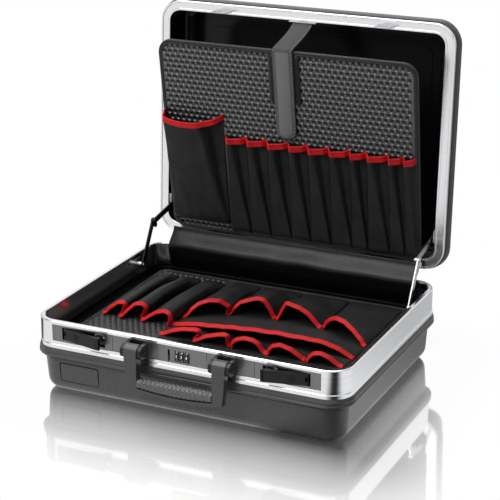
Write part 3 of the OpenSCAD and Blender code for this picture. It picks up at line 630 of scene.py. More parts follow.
def light_world(scene):
    """White to the eye and to mirrors, with two dark strips beside the softboxes, and
    dim for everything else."""
    scene.world = bpy.data.worlds.new("studio")
    side, side_fall, full = 0.80, 9.0, 1.3  # the strips' place on both sides, and how they fade
    end, end_fall = 0.75, 4.0  # where they end above and below
    f = Finish("studio", scene.world)
    x, y, z = f.place_around()
    upright = ((x.size() - side).size() * -side_fall + full).clamp()
    strip = upright * ((end - z.size()) * end_fall).clamp()
    mirrored = f.rays("Is Glossy Ray")
    level = f.mix(mirrored * strip, grey(1.0), grey(0.05))
    seen = f.add("ShaderNodeBackground", inputs={"Color": level, "Strength": 1.0})
    dim = f.add("ShaderNodeBackground", inputs={"Color": opaque(grey(1.0)), "Strength": 0.10})
    f.close(f.blend(f.seen_rays(), dim, seen), "ShaderNodeOutputWorld")


def aim_camera(scene):
    """Puts the camera on its circle round the middle of the open case."""
    middle = Vector((0.01516, 0.0, 0.18533))
    studio = scene.toolcase_studio
    a, e, r = studio.azimuth, studio.elevation, studio.roll
    back = Vector((math.sin(a) * math.cos(e), -math.cos(a) * math.cos(e), math.sin(e)))
    side = Vector((math.cos(a), math.sin(a), 0.0))
    up = back.cross(side)
    right = side * math.cos(r) + up * math.sin(r)
    up = up * math.cos(r) - side * math.sin(r)
    lens = bpy.data.cameras.new("camera")
    lens.lens = studio.lens
    lens.sensor_width = 36.0
    camera = bpy.data.objects.new("camera", lens)
    camera.matrix_world = Matrix.LocRotScale(
        middle + back * studio.distance,
        Matrix((right, up, back)).transposed(), None)
    bpy.context.collection.objects.link(camera)
    scene.camera = camera


# ---------------------------------------------------------------- metal and plastic


class TOOLCASE_OT_hard_parts(Operator):
    """Gives the metal and plastic parts their finishes"""

    bl_idname = "toolcase.hard_parts"
    bl_label = "Metal and plastic"

    def execute(self, context):
        colors = context.scene.toolcase_colors
        finishes = {
            "shell": shell_plastic("grained_shell", colors.shell),
            # the window's back wall in the frame is painted black as painted shade
            "frame_metal": window_metal(
                "satin_frame", colors.frame, 0.2, (4, 4, 1600), in_window, 0.12),
            "lid_metal": brushed("satin_lid_frame", colors.frame, 0.2, (6, 900, 6), 0.12),
            "plate_metal": window_metal(
                "upright_brushed", colors.plate, 0.34, (2200, 60, 8), before_frame, 0.4),
            "inner_plastic": moulded(
                "inner_plastic", grey(0.003), 0.2, 900.0, 0.00003, shine=0.12),
            "steel": brushed("plated_steel", (0.56, 0.56, 0.57), 0.27, (500, 500, 500)),
            "dial": moulded("dial_black", grey(0.008), 0.3, 900.0, 0.00003),
            "lever": moulded("lacquer", grey(0.004), 0.2, 600.0, 0.00001, shine=0.2, coat=0.1),
            # painted reflection: the left stays are the same plated steel, painted dark for the
            # dark inside they mirror
            "steel_painted_dark": brushed("painted_dark_steel", (0.03, 0.03, 0.032), 0.3, (500, 500, 500)),
            "handle_plastic": moulded(
                "handle_plastic", (0.032, 0.032, 0.0325), 0.24, 900.0, 0.00003, shine=0.5),
        }
        slots = {p["node"]: p["material_slot"] for p in frame["record"]["subparts"]}
        # the left stays take the steel painted dark as a painted reflection
        slots.update(lid_frame="lid_metal", handle_pins="dial", latch_springs="inner_plastic",
                     stay_lower_left="steel_painted_dark", stay_upper_left="steel_painted_dark",
                     stay_knuckle_left="steel_painted_dark")
        for name, part in frame["nodes"].items():
            finish = finishes.get(slots[name])
            if finish:
                for material_slot in part.material_slots:
                    material_slot.material = finish
        return {"FINISHED"}


# ---------------------------------------------------------------- shapes


def grid_faces(rows, columns, closed=False):
    """Quads over a grid of points, row by row."""
    return [
        (r * columns + c, r * columns + (c + 1) % columns,
         (r + 1) * columns + (c + 1) % columns, (r + 1) * columns + c)
        for r in range(rows - 1)
        for c in range(columns if closed else columns - 1)
    ]


class Heap:
    """Points in millimetres and faces that end as one mesh."""

    def __init__(self):
        self.points = []
        self.faces = []
        self.kinds = []

    def add(self, points, faces, kinds=None):
        """kinds tells which of the piece's finishes each face has."""
        start = len(self.points)
        self.points.extend(tuple(p) for p in points)
        self.faces.extend(tuple(start + k for k in face) for face in faces)
        self.kinds.extend(kinds or [0] * len(faces))
        return self

    def skin(self, grid, thick):
        """Closes a grid of points into cloth of even thickness."""
        rows, columns = grid.shape[:2]
        normal = np.cross(np.gradient(grid, axis=1), np.gradient(grid, axis=0))
        normal /= np.linalg.norm(normal, axis=2, keepdims=True) + 1e-9
        near = (grid + normal * thick / 2).reshape(-1, 3)
        far = (grid - normal * thick / 2).reshape(-1, 3)
        count = rows * columns
        faces = grid_faces(rows, columns)
        faces += [tuple(count + k for k in reversed(face)) for face in faces]
        rim = [*range(columns - 1), *range(columns - 1, count - 1, columns),
               *range(count - 1, count - columns, -1), *range(count - columns, 0, -columns)]
        faces += [(b, a, a + count, b + count) for a, b in zip(rim, rim[1:] + rim[:1])]
        return self.add(np.vstack((near, far)), faces)

    def tube(self, points, rows, endless=False):
        """A tube through rows of points, with flat ends or joined to itself."""
        size = len(points) // rows
        last = (rows - 1) * size
        faces = grid_faces(rows, size, closed=True)
        if endless:
            faces += [(last + k, last + (k + 1) % size, (k + 1) % size, k) for k in range(size)]
        else:
            faces += [tuple(range(size)), tuple(range(last + size - 1, last - 1, -1))]
        return self.add(points, faces)

    def sweep(self, path, normals, ups, profile):
        """Carries a closed profile of (out, up) points along a path."""
        points = [
            at + out * n + up * u
            for at, n, u in zip(path, normals, ups)
            for out, up in profile
        ]
        return self.tube(points, len(path))

    def stitch(self, at, along, out, length, width):
        """One raised stitch of thread."""
        along, out = unit(along), unit(out)
        side = np.cross(along, out)
        ring = [(math.cos(a), math.sin(a)) for a in np.linspace(0, 2 * math.pi, 7)[:-1]]
        stations = [(-0.5, 0.3), (-0.3, 1.0), (0.3, 1.0), (0.5, 0.3)]
        path = [at + along * (length * place) for place, _ in stations]
        points = [
            p + side * (a * width / 2 * size) + out * (b * width / 2 * size)
            for p, (_, size) in zip(path, stations)
            for a, b in ring
        ]
        return self.tube(points, len(path))

    def piece(self, name, finishes, slot, body=None, stands_for=()):
        """Makes the mesh, and says what it is part of and which nodes it stands for."""
        mesh = bpy.data.meshes.new(name)
        mesh.from_pydata([tuple(MM * v for v in p) for p in self.points], [], self.faces)
        mesh.polygons.foreach_set("material_index", self.kinds)
        work = bmesh.new()
        work.from_mesh(mesh)
        bmesh.ops.recalc_face_normals(work, faces=work.faces)
        for face in work.faces:
            face.smooth = True
        work.to_mesh(mesh)
        work.free()
        for finish in finishes if isinstance(finishes, list) else [finishes]:
            mesh.materials.append(finish)
        piece = bpy.data.objects.new(name, mesh)
        bpy.context.collection.objects.link(piece)
        if body:
            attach(piece, body)
        if stands_for:
            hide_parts(*stands_for)
        return piece


def mm(length):
    """A setting in millimetres, without what single precision adds to it."""
    return round(length / MM, 3)


def unit(v):
    """The same direction, one long."""
    v = np.asarray(v, float)
    return v / (np.linalg.norm(v) + 1e-12)


def rolling(points, size, depth, seed):
    """A slow, even unevenness of cloth over an array of points, in millimetres."""
    flat = points.reshape(-1, 3)
    out = [depth * noise.noise(Vector(p) / size + Vector((seed, 0, 0))) for p in flat]
    return np.array(out).reshape(points.shape[:-1])


def evenly(line, count):
    """The same line with its points at even distances."""
    steps = np.linalg.norm(np.diff(line, axis=0), axis=1)
    at = np.concatenate(([0], np.cumsum(steps)))
    want = np.linspace(0, at[-1], count)
    return np.stack([np.interp(want, at, line[:, k]) for k in range(line.shape[1])], axis=1)


def rounded_outline(width, height, radius, step=6.0):
    """Points and inward directions along a rectangle with round corners."""
    points, inward = [], []
    for k in range(4):
        a0 = k * math.pi / 2
        cx = (width / 2 - radius) * (1, -1, -1, 1)[k]
        cy = (height / 2 - radius) * (1, 1, -1, -1)[k]
        for a in np.linspace(a0, a0 + math.pi / 2, 9):
            points.append((cx + radius * math.cos(a), cy + radius * math.sin(a)))
            inward.append((-math.cos(a), -math.sin(a)))
        end = np.array(points[-1])
        a = a0 + math.pi / 2
        run = (width if k % 2 == 0 else height) - 2 * radius
        way = np.array((-math.sin(a), math.cos(a)))
        count = int(run / step)
        for j in range(1, count):
            points.append(tuple(end + way * (run * j / count)))
            inward.append((-math.cos(a), -math.sin(a)))
    return np.array(points), np.array(inward)


# ---------------------------------------------------------------- boards


def punched_board(width, depth, corner, place, plain, pitch):
    """A stiff board under leatherette with rows of round dimples.

    plain(x, y) is true where pockets cover the board and no dimple shows. Each dimple sits
    in a hexagon, drawn with 12 points; its bottom takes a near-black finish, painted shade."""
    sides, margin, backing = 12, 1.5, -2.8
    reach = pitch / math.sqrt(3)
    heap = Heap()
    angles = [math.radians(360 / sides * k) for k in range(sides)]
    sizes = [reach if k % 2 else pitch / 2 for k in range(sides)]
    rings = [(4.1, 0.2), (3.7, 0.0), (3.15, -0.8), (2.4, -1.75), (1.5, -2.3)]
    wall, floor = sides * (len(rings) - 1), sides + 1
    limit_x, limit_y = width / 2 - margin, depth / 2 - margin

    def kept(x, y):
        x = max(-limit_x, min(limit_x, x))
        y = max(-limit_y, min(limit_y, y))
        dx, dy = abs(x) - (width / 2 - corner), abs(y) - (depth / 2 - corner)
        if dx > 0 and dy > 0 and math.hypot(dx, dy) > corner - margin:
            pull = (corner - margin) / math.hypot(dx, dy)
            x = math.copysign(width / 2 - corner + dx * pull, x)
            y = math.copysign(depth / 2 - corner + dy * pull, y)
        return x, y

    rows = int(depth / (1.5 * reach)) + 2
    for r in range(rows):
        cy = -depth / 2 + 1.5 * reach * r + 1.0
        for c in range(int(width / pitch) + 2):
            cx = -width / 2 + pitch * (c + 0.5 * (r % 2)) + 1.0
            if cx - pitch > limit_x or cy - reach > limit_y:
                continue
            outer = [(*kept(cx + s * math.cos(a), cy + s * math.sin(a)), 0.0)
                     for s, a in zip(sizes, angles)]
            inside = abs(cx) < width / 2 - 9 and abs(cy) < depth / 2 - 8
            if not inside or plain(cx, cy + depth / 2):
                heap.add(outer, [tuple(range(sides))])
                continue
            points = list(outer)
            for radius, out in rings:
                points += [(cx + radius * math.cos(a), cy + radius * math.sin(a), out)
                           for a in angles]
            faces = grid_faces(len(rings) + 1, sides, closed=True)
            faces.append(tuple(range(len(points) - sides, len(points))))
            # the bottom ring and cap of each dimple take the second finish, painted near black as
            # painted shade
            heap.add(points, faces, [0] * wall + [1] * floor)
    edge, _ = rounded_outline(width - 2 * margin, depth - 2 * margin, corner - margin)
    count = len(edge)
    heap.add([(x, y, backing) for x, y in edge] + [(x, y, -BOARD_THICK) for x, y in edge],
             [tuple(range(count)), tuple(range(2 * count - 1, count - 1, -1))]
             + [(k, (k + 1) % count, (k + 1) % count + count, k + count) for k in range(count)])
    points = np.array(heap.points)
    points[:, 1] += depth / 2
    heap.points = [tuple(p) for p in place(points)]
    return heap


def bound_edge(width, depth, corner, place, seed):
    """A turned and sewn edge round a board: half round outside, flat on both faces."""
    thick = BOARD_THICK
    outline, inward = rounded_outline(width, depth, corner, 5.0)
    section = [(6.4, 0.1), (6.1, 0.62), (4.6, 0.72), (3.9, 0.5), (3.2, 0.74), (1.6, 0.72),
               (0.4, 0.1), (0.0, -1.0), (0.0, -thick + 1.0), (0.4, -thick - 0.1),
               (1.6, -thick - 0.7), (6.1, -thick - 0.6), (6.4, -thick + 0.1)]
    points = []
    for (x, y), (ix, iy) in zip(outline, inward):
        wave = 0.35 * noise.noise(Vector((x * 0.04, y * 0.04, seed)))
        for deep, out in section:
            reach = deep + (wave if deep > 3.5 else 0.0)
            points.append((x + ix * reach, y + iy * reach + depth / 2, out))
    return Heap().tube(place(np.array(points)), len(outline), endless=True)


def edge_stitches(width, depth, corner, place, pitch):
    """The seam along a board's bound edge, of separate stitches."""
    inset, out, length, thread = 4.25, 0.66, 3.0, 0.8
    outline, _ = rounded_outline(width - 2 * inset, depth - 2 * inset, corner - inset)
    loop = np.vstack((outline, outline[:1]))
    total = np.linalg.norm(np.diff(loop, axis=0), axis=1).sum()
    line = evenly(loop, int(total / pitch))
    heap = Heap()
    for a, b in zip(line, line[1:]):
        mid = (a + b) / 2
        spots = [(*mid, out), (*mid, out + 1.0), (*a, out), (*b, out)]
        at, over, start, end = place(np.array(spots) + (0.0, depth / 2, 0.0))
        heap.stitch(at, end - start, over - at, length, thread)
    return heap


def make_board(context, half, size, top, place, plain, seed):
    """The cover, the bound edge and the seam of one tool board."""
    finishes, sizes = soft_finishes(context), context.scene.toolcase_sizes
    body = f"{half}_tool_board"
    punched_board(*size, place, plain, mm(sizes.dimple_pitch)).piece(
        f"{half}_board_cover", [finishes[top], finishes["dimple_shade"]], "board_cloth", body,
        [f"{half}_board"])
    bound_edge(*size, place, seed).piece(
        f"{half}_board_edge", finishes["edge"], "leatherette", body, [f"{half}_board_binding"])
    edge_stitches(*size, place, mm(sizes.board_stitch)).piece(
        f"{half}_board_stitches", finishes["thread"], "leatherette", body)


# ---------------------------------------------------------------- pockets


# Half of a tape's outside from its lower edge to its fold, as (out in mm, share of its height)
TAPE_HALF = [(0.75, -1.0), (1.0, -0.9), (0.8, -0.74), (0.7, -0.5), (0.8, -0.26),
             (1.05, -0.1), (0.7, 0.05)]


def tape_profile(height):
    """Section of a tape folded over a cloth edge, as (out, up) in millimetres."""
    outer = [(a, b * height) for a, b in TAPE_HALF]
    far = [(-a, b) for a, b in reversed(outer)]
    inner = [(-0.5, -height), (-0.5, -0.3), (0.5, -0.3), (0.5, -height)]
    return outer + far + inner


def smooth_line(corners, count, rounds=2):
    """Evenly spaced points on a soft curve near the corners."""
    line = evenly(np.asarray(corners, float), count * 3)
    for _ in range(rounds * 6):
        line[1:-1] = 0.25 * line[:-2] + 0.5 * line[1:-1] + 0.25 * line[2:]
    return evenly(line, count)


def wall_pocket(x0, x1, mouth, deep, crest, sag, seed, fold=0.8, foot=12.0):
    """One pocket on the lid's board; returns its grid, from the foot to the mouth.

    crest holds the shares of its width between which its front stands out at the mouth;
    to the right of that it falls back. The front widens to the whole pocket at the foot,
    and the mouth itself is held round by its tape."""
    foot_deep, seam, below, taped = 5.0, 0.3, 0.042, 0.92
    foot_left, foot_right = 0.02, 0.97
    rows = []
    for t in [-0.035, -0.02, 0.0, *np.linspace(0.04, taped, 22), 0.945, 0.97, 1.0]:
        high = max(t, 0.0)
        if t < 0:
            out = foot_deep * (1 + t / below) + seam
        else:
            out = foot_deep + (deep - foot_deep) * t
        left = foot_left + (crest[0] - foot_left) * high ** 0.7
        right = foot_right - (foot_right - crest[1]) * high ** 0.9
        lip = min(1.0, max(0.0, (t - taped) / 0.06))
        section = [(0.0, 0.0), (left * 0.35, 0.42), (left * 0.6, 0.45), (left, 0.95),
                   ((left + right) / 2, 1.05), (right, 0.92),
                   (right + 0.3 * (1 - right), 0.08 + 0.66 * lip),
                   (right + 0.75 * (1 - right), 0.05 + 0.45 * lip), (1.0, 0.0)]
        corners = [(x0 + seam + (x1 - x0 - 2 * seam) * u, d * out) for u, d in section]
        line = smooth_line(corners, 45, 1)
        across = np.clip((line[:, 0] - x0) / (x1 - x0), 0, 1)
        hang = sag * (1 - (2 * across - 1) ** 2) ** 0.8
        rows.append(np.column_stack((line[:, 0], foot + t * (mouth - foot) - hang * high ** 4,
                                     line[:, 1] + 0.55)))
    grid = np.array(rows)
    height = np.clip(grid[:, :, 2] / 4.0, 0, 1)
    grid[:, :, 2] += rolling(grid * (1.0, 0.3, 1.0), 15.0, fold, seed) * height
    grid[:, :, 0] += rolling(grid * (1.0, 0.5, 1.0), 24.0, fold * 0.8, seed + 7) * height
    grid[:, :, 2] = np.maximum(grid[:, :, 2], 0.5)
    return grid


def crease(grid, start, end, width, height):
    """Raises a straight crease on a pocket's front, between two (x, up) places."""
    a, b = np.array(start), np.array(end)
    p = grid[:, :, :2]
    t = np.clip(((p - a) @ (b - a)) / ((b - a) @ (b - a)), 0, 1)
    off = np.linalg.norm(p - (a + t[..., None] * (b - a)), axis=2)
    grid[:, :, 2] += height * np.exp(-(off / width) ** 2)


def add_tape(heap, path, frees, height, faces=None):
    """Binds a pocket's mouth; frees point towards its free edge and faces out of its front."""
    ways = [unit(a) for a in np.gradient(path, axis=0)]
    ups = [unit(free - way * np.dot(free, way)) for free, way in zip(frees, ways)]
    outs = [unit(np.cross(up, way)) for up, way in zip(ups, ways)]
    if faces is not None:
        outs = [n if np.dot(n, face) > 0 else -n for n, face in zip(outs, faces)]
    heap.sweep(path, outs, ups, tape_profile(height))


def lid_pocket_edges():
    """Left and right edge of each pocket on the lid's board, the big one first."""
    shares = [34, 33, 34, 31, 33, 33, 25, 34, 24, 18]
    x0, x1 = -101.0, 198.0
    scale = (x1 - x0) / sum(shares)
    edges = [(-199.5, -103.5)]
    for k in range(len(shares)):
        edges.append((x0 + scale * sum(shares[:k]), x0 + scale * sum(shares[:k + 1])))
    return edges


# Pockets on the base's board. Each has its mouth from left foot to right foot as
# (x, height), the y of both feet and of the top, and its back as (left, right, y).
LEFT_ROW = [
    ([(-194, 1), (-184, 13), (-171, 22.5), (-161, 24), (-157, 20), (-161, 9), (-167.5, 1)],
     (-51, -49, -49), (-195.5, -164.0, 126.0)),
    ([(-166, 1), (-154, 14), (-141, 25.5), (-130, 28), (-123, 22), (-127, 10), (-133, 1)],
     (-53, -47, -50), (-162.5, -125.0, 126.0)),
    ([(-131.5, 1), (-120, 11), (-108, 19), (-94, 23), (-84, 20), (-82, 10), (-86, 1)],
     (-51, -54, -52), (-123.5, -85.0, 126.0)),
]
REAR_ROW = [
    ([(-81, 1), (-74, 14), (-65, 21), (-51, 25.5), (-38, 25), (-24, 14), (-29.5, 1)],
     (-18, 20, 6), (-78.0, -31.0, 137.0)),
    ([(-28.5, 1), (-20, 14), (-12, 23), (3, 27.5), (14, 30), (24, 28.5), (33, 17), (40, 1)],
     (20, 32, 28), (-29.5, 37.5, 137.0)),
    ([(42, 1), (50, 17), (57, 30), (68, 28), (80, 26.5), (93, 21), (104, 11), (112.5, 1)],
     (32, 28, 30), (38.5, 111.5, 137.0)),
    ([(114.5, 1), (120, 12), (129, 22), (141, 27.5), (157, 27), (172, 20), (186, 10), (193, 1)],
     (30, -8, 8), (112.5, 194.0, 137.0)),
]
STRIP_ROW = [
    ([(-92, 1), (-78, 4), (-60, 8), (-35, 12), (0, 16), (40, 19.5), (83, 21.5), (120, 21),
      (152, 19.5), (174, 14), (188, 7), (195, 1)],
     (-47, -54, -56), (-84.0, 194.0, -14.0)),
]
FRONT_ROW = [
    ([(-83, 1), (-74, 6), (-62, 12), (-46, 17), (-30, 19.5), (-20, 19), (-19, 12), (-31, 1)],
     (-86, -84, -88), (-89.0, -31.0, -61.0)),
    ([(-30, 1), (-20, 7), (-8, 13), (6, 18), (18, 20), (25, 18), (24, 9), (26.5, 1)],
     (-88, -86, -89), (-30.0, 27.5, -61.0)),
    ([(31, 1), (28.5, 8), (36, 16), (48, 20.5), (62, 20), (70, 16), (77, 6), (83.5, 1)],
     (-89, -88, -90), (28.5, 84.0, -61.0)),
    ([(84.5, 1), (84, 9), (91, 17), (103, 20.5), (117, 17), (129, 10), (139, 2)],
     (-89, -87, -90), (85.0, 139.5, -61.0)),
    ([(141, 1), (143, 8), (151, 16), (162, 18.5), (174, 14), (184, 7), (193, 1)],
     (-88, -86, -89), (140.5, 194.0, -61.0)),
]


def floor_pocket(pocket, columns, seed, fold, flat):
    """One pocket on the base's board; returns its grid, from the back to the free edge
    of its mouth, and the mouth's directions outwards and towards its free edge."""
    rows, lowest = 24, 0.9
    forward, inward = 0.72, 0.69  # the way that the mouth's lip points
    mouth, (left_y, right_y, top_y), (back_x0, back_x1, back_y) = pocket
    arch = smooth_line(mouth, columns, 1)
    arch[:, 1] = np.maximum(arch[:, 1], lowest)
    share = np.linspace(0, 1, columns)
    pull_y = 2 * top_y - 0.5 * (left_y + right_y)
    mouth_y = (1 - share) ** 2 * left_y + 2 * share * (1 - share) * pull_y + share ** 2 * right_y
    back = np.column_stack((back_x0 + 1 + (back_x1 - back_x0 - 2) * share,
                            lowest + 2.2 * np.sin(math.pi * share) ** 0.5))
    grid = []
    for t in np.linspace(1, 0, rows):
        ease = t ** flat
        line = arch * (1 - ease) + back * ease
        grid.append(np.column_stack((line[:, 0], mouth_y + (back_y - mouth_y) * t, line[:, 1])))
    tangent = np.gradient(arch, axis=0)
    tangent /= np.linalg.norm(tangent, axis=1, keepdims=True) + 1e-9
    outward = np.column_stack((-tangent[:, 1], np.zeros(columns), tangent[:, 0]))
    free = np.array((0.0, -forward, 0.0)) - inward * outward
    face = forward * outward + np.array((0.0, -inward, 0.0))
    low = np.clip(arch[:, 1:2] / 5.0, 0, 1)
    for reach in (2.2, 4.4):
        lip = grid[rows - 1] + free * reach * low + (1 - low) * np.array((0.0, -reach, 0.0))
        lip[:, 2] = np.maximum(lip[:, 2], lowest)
        grid.append(lip)
    grid = np.array(grid)
    high = np.clip(grid[:, :, 2] / 6.0, 0, 1)
    grid[:, :, 2] += rolling(grid * (1.0, 0.3, 1.0), 19.0, fold, seed) * high
    grid[:, :, 0] += rolling(grid * (1.0, 0.6, 1.0), 26.0, fold, seed + 5) * high
    grid[:, :, 2] = np.maximum(grid[:, :, 2], 0.75)
    return grid, face, free


def base_pocket_row(name, node, row, columns, flat, fold, tapes, tape_height, finish):
    """One row of pockets on the base's board; their tapes go to the heap of tapes."""
    heap = Heap()
    for k, pocket in enumerate(row):
        grid, face, free = floor_pocket(pocket, columns, 11.0 * k + len(name), fold, flat)
        heap.skin(on_base_board(grid), 1.0)
        add_tape(tapes, on_base_board(grid[-1]), free, tape_height, face)
    return heap.piece(name, finish, "pocket_cloth", "base_tool_board", [node])


# ---------------------------------------------------------------- strap, flap and grip


def bezier(points, count):
    """Points on the curve of four control points."""
    p = np.asarray(points, float)
    t = np.linspace(0, 1, count)[:, None]
    return ((1 - t) ** 3 * p[0] + 3 * t * (1 - t) ** 2 * p[1]
            + 3 * t * t * (1 - t) * p[2] + t ** 3 * p[3])


def strap_line():
    """The strap's middle line from its clamp to its tip, as (y, z)."""
    root = (216.0, 464.7)
    top = beside_lid_board(-5.9, 308.0)
    upper = bezier([root, (root[0] - 14, root[1] - 15), (top[0] + 15, top[1] + 6), top], 26)
    lower = [beside_lid_board(-6.1, s) for s in np.linspace(305, 172, 44)]
    return np.vstack((upper, lower))


# Right half of the strap's face, as (share of half its width, share of half its thickness)
STRAP_HALF = [(0.55, 1.35), (0.62, 0.95), (0.78, 0.95), (0.85, 0.6), (0.9, 1.0), (0.97, 0.9),
              (1.0, 0.35)]


def strap_piece(width):
    """The strap with its raised panel and round tip; returns its middle line and normals too."""
    thick, tip, tip_flat = 2.4, 11.0, 3.5
    line = strap_line()
    tangent = np.gradient(line, axis=0)
    tangent /= np.linalg.norm(tangent, axis=1, keepdims=True)
    normal = np.column_stack((tangent[:, 1], -tangent[:, 0]))
    normal[normal[:, 0] > 0] *= -1
    steps = np.linalg.norm(np.diff(line, axis=0), axis=1)
    left = steps.sum() - np.concatenate(([0], np.cumsum(steps)))
    section = [(-a, b) for a, b in reversed(STRAP_HALF)] + [(0.0, 1.4)] + STRAP_HALF
    section += [(1.0, -0.6), (0.95, -1.0), (-0.95, -1.0), (-1.0, -0.6)]
    points = []
    for (y, z), (ny, nz), rest in zip(line, normal, left):
        half = width / 2
        if rest < tip:
            half = tip_flat + (half - tip_flat) * math.sqrt(max(0.0, 1 - ((tip - rest) / tip) ** 2))
        for a, b in section:
            points.append((a * half, y + ny * b * thick / 2, z + nz * b * thick / 2))
    return Heap().tube(points, len(line)), line, normal


def flap_piece():
    """The leatherette flap from the foot of the lid's board down into the base."""
    half, thick = 201.5, 1.9
    upper = bezier([(183.2, 133.5), (182.0, 124.0), (172.0, 119.0), (166.0, 112.0)], 16)
    lower = bezier([(165.6, 111.4), (161.5, 106.5), (165.0, 92.0), (171.3, 75.0)], 18)
    line = evenly(np.vstack((upper, lower)), 40)
    grid = []
    for x in np.linspace(-half, half, 82):
        wave = np.sin(np.linspace(0, math.pi, len(line))) * 1.1
        push = [wave[k] * noise.noise(Vector((x / 48.0, k / 13.0, 4.0))) for k in range(len(line))]
        grid.append([(x, y - q, z + 0.5 * q) for (y, z), q in zip(line, push)])
    return Heap().skin(np.array(grid), thick)


def grip_sleeve(diamond):
    """Soft sleeve round the handle's bar, with raised diamonds on its faces."""
    axis_y, axis_z = HANDLE_AXIS
    half, deep, corner, around = 55.6, 14.6, 6.4, 84
    reach, lip, bow, bow_half = 57.0, 5.1, 6.0, 71.0  # of the handle's bowed lower edge
    bow_r = (bow_half ** 2 + bow ** 2) / (2 * bow)
    mid_y, top = axis_y - 5.0, axis_z - reach + 22.0
    groove, plain_end = 1.1, 3.0
    stations = np.linspace(-half, half, 190)
    points = []
    for x in stations:
        low = axis_z - reach + lip + bow_r - math.sqrt(bow_r ** 2 - x * x)
        end = min(1.0, (half - abs(x)) / 1.2)
        shrink = 0.93 + 0.07 * math.sqrt(max(0.0, 1 - (1 - end) ** 2))
        line = super_oval(deep * shrink / 2, (top - low) * shrink / 2, corner, around)
        fade = min(1.0, max(0.0, (half - plain_end - abs(x)) / 1.5))
        run = 0.0
        for k, (a, b, na, nb) in enumerate(line):
            if k:
                run += math.hypot(a - line[k - 1][0], b - line[k - 1][1])
            one = abs(((x + run) / diamond) % 1.0 - 0.5)
            two = abs(((x - run) / diamond) % 1.0 - 0.5)
            dip = min(1.0, min(one, two) / 0.3)
            raise_by = groove * (dip - 1.0) * fade
            points.append((x, mid_y + a + na * raise_by, (top + low) / 2 + b + nb * raise_by))
    return Heap().tube(points, len(stations))


def super_oval(half_w, half_h, radius, count):
    """Points and outward directions round a rectangle with large round corners."""
    radius = min(radius, half_w - 0.4, half_h - 0.4)
    outline, inward = rounded_outline(2 * half_w, 2 * half_h, radius, 1.0)
    loop = np.vstack((np.hstack((outline, inward)), np.hstack((outline[:1], inward[:1]))))
    steps = np.linalg.norm(np.diff(loop[:, :2], axis=0), axis=1)
    at = np.concatenate(([0], np.cumsum(steps)))
    want = np.linspace(0, at[-1], count, endpoint=False)
    cols = [np.interp(want, at, loop[:, k]) for k in range(4)]
    return [(a, b, -c, -d) for a, b, c, d in zip(*cols)]


def dial_numbers(finish, height):
    """White numbers on the ten flats of each dial; the fronts show 2, 5 and 8."""
    pitch, shift, radius, flats = 7.6, -0.85, 11.0, 10
    turn_by = 360 / flats
    flat = radius * math.cos(math.radians(turn_by / 2)) + 0.06
    for dial, body in enumerate(("first_dial", "second_dial", "third_dial")):
        heap = Heap()
        for digit in range(flats):
            text = bpy.data.curves.new("number", "FONT")
            text.body = str(digit)
            text.align_x, text.align_y = "CENTER", "CENTER"
            text.size = height
            text.extrude = 0.05
            text.offset = 0.12
            maker = bpy.data.objects.new("number", text)
            mesh = bpy.data.meshes.new_from_object(maker)
            turn = math.radians(turn_by * (digit - 3 * dial - 2))
            out = np.array((0.0, -math.cos(turn), math.sin(turn)))
            up = np.array((0.0, math.sin(turn), math.cos(turn)))
            at = np.array(((dial - 1) * pitch + shift, *DIAL_AXIS)) + out * flat
            heap.add([at + np.array((v.co.x * 0.8, 0, 0)) + up * v.co.y + out * v.co.z
                      for v in mesh.vertices], [tuple(f.vertices) for f in mesh.polygons])
            bpy.data.objects.remove(maker)
            bpy.data.curves.remove(text)
            bpy.data.meshes.remove(mesh)
        heap.piece(f"dial_numbers_{dial + 1}", finish, "dial", body)


# ---------------------------------------------------------------- operators for the pieces


class TOOLCASE_OT_lid_board(Operator):
    """Covers the lid's tool board and sews its edge"""

    bl_idname = "toolcase.lid_board"
    bl_label = "Lid board"

    def execute(self, context):
        (_, big_ends), (small_start, _) = lid_pocket_edges()[:2]

        def plain(x, up):
            return (x < big_ends + 2 and 24 < up < 175) or (x > small_start and up < 150)

        make_board(context, "lid", LID_BOARD, "board", on_lid_board, plain, 1.0)
        patch = np.array([[(x, up, 0.9) for x in np.linspace(-24, 24, 13)]
                          for up in np.linspace(226, 298, 19)])
        patch[:, :, 2] += rolling(patch, 7.0, 0.3, 2.0)
        hook = Heap().skin(on_lid_board(patch), 1.2).piece(
            "hook_patch_loops", soft_finishes(context)["hook"], "hook", "lid_tool_board",
            ["hook_patch"])
        return {"FINISHED"}


class TOOLCASE_OT_lid_pockets(Operator):
    """Sews the pockets on the lid's board and binds their mouths with tape"""

    bl_idname = "toolcase.lid_pockets"
    bl_label = "Lid pockets"

    def execute(self, context):
        finishes, sizes = soft_finishes(context), context.scene.toolcase_sizes
        edges, thick = lid_pocket_edges(), 0.9
        tapes, small = Heap(), Heap()

        def bind(grid, height):
            path = on_lid_board(grid[-1])
            add_tape(tapes, path, [BOARD_UP] * len(path), mm(height))

        for k, (x0, x1) in enumerate(edges[1:]):
            grid = wall_pocket(x0, x1, 165.0, 13.0, (0.2, 0.34), 0.8, 10.0 + 3 * k)
            small.skin(on_lid_board(grid), thick)
            bind(grid, sizes.lid_tape)
        big = wall_pocket(*edges[0], 197.0, 25.0, (0.07, 0.66), 9.0, 3.0, fold=1.4, foot=24.0)
        crease(big, (-176.0, 100.0), (-124.0, 30.0), 2.6, 1.5)
        bind(big, sizes.big_tape)
        tape_piece = tapes.piece(
            "lid_pocket_tape", finishes["tape"], "trim", "lid_tool_board", ["lid_pocket_trims"])
        big_piece = Heap().skin(on_lid_board(big), thick).piece(
            "lid_big_pocket_cloth", finishes["cloth"], "pocket_cloth", "lid_tool_board",
            ["lid_big_pocket"])
        small_piece = small.piece(
            "lid_small_pockets_cloth", finishes["cloth"], "pocket_cloth", "lid_tool_board",
            ["lid_small_pockets"])
        return {"FINISHED"}


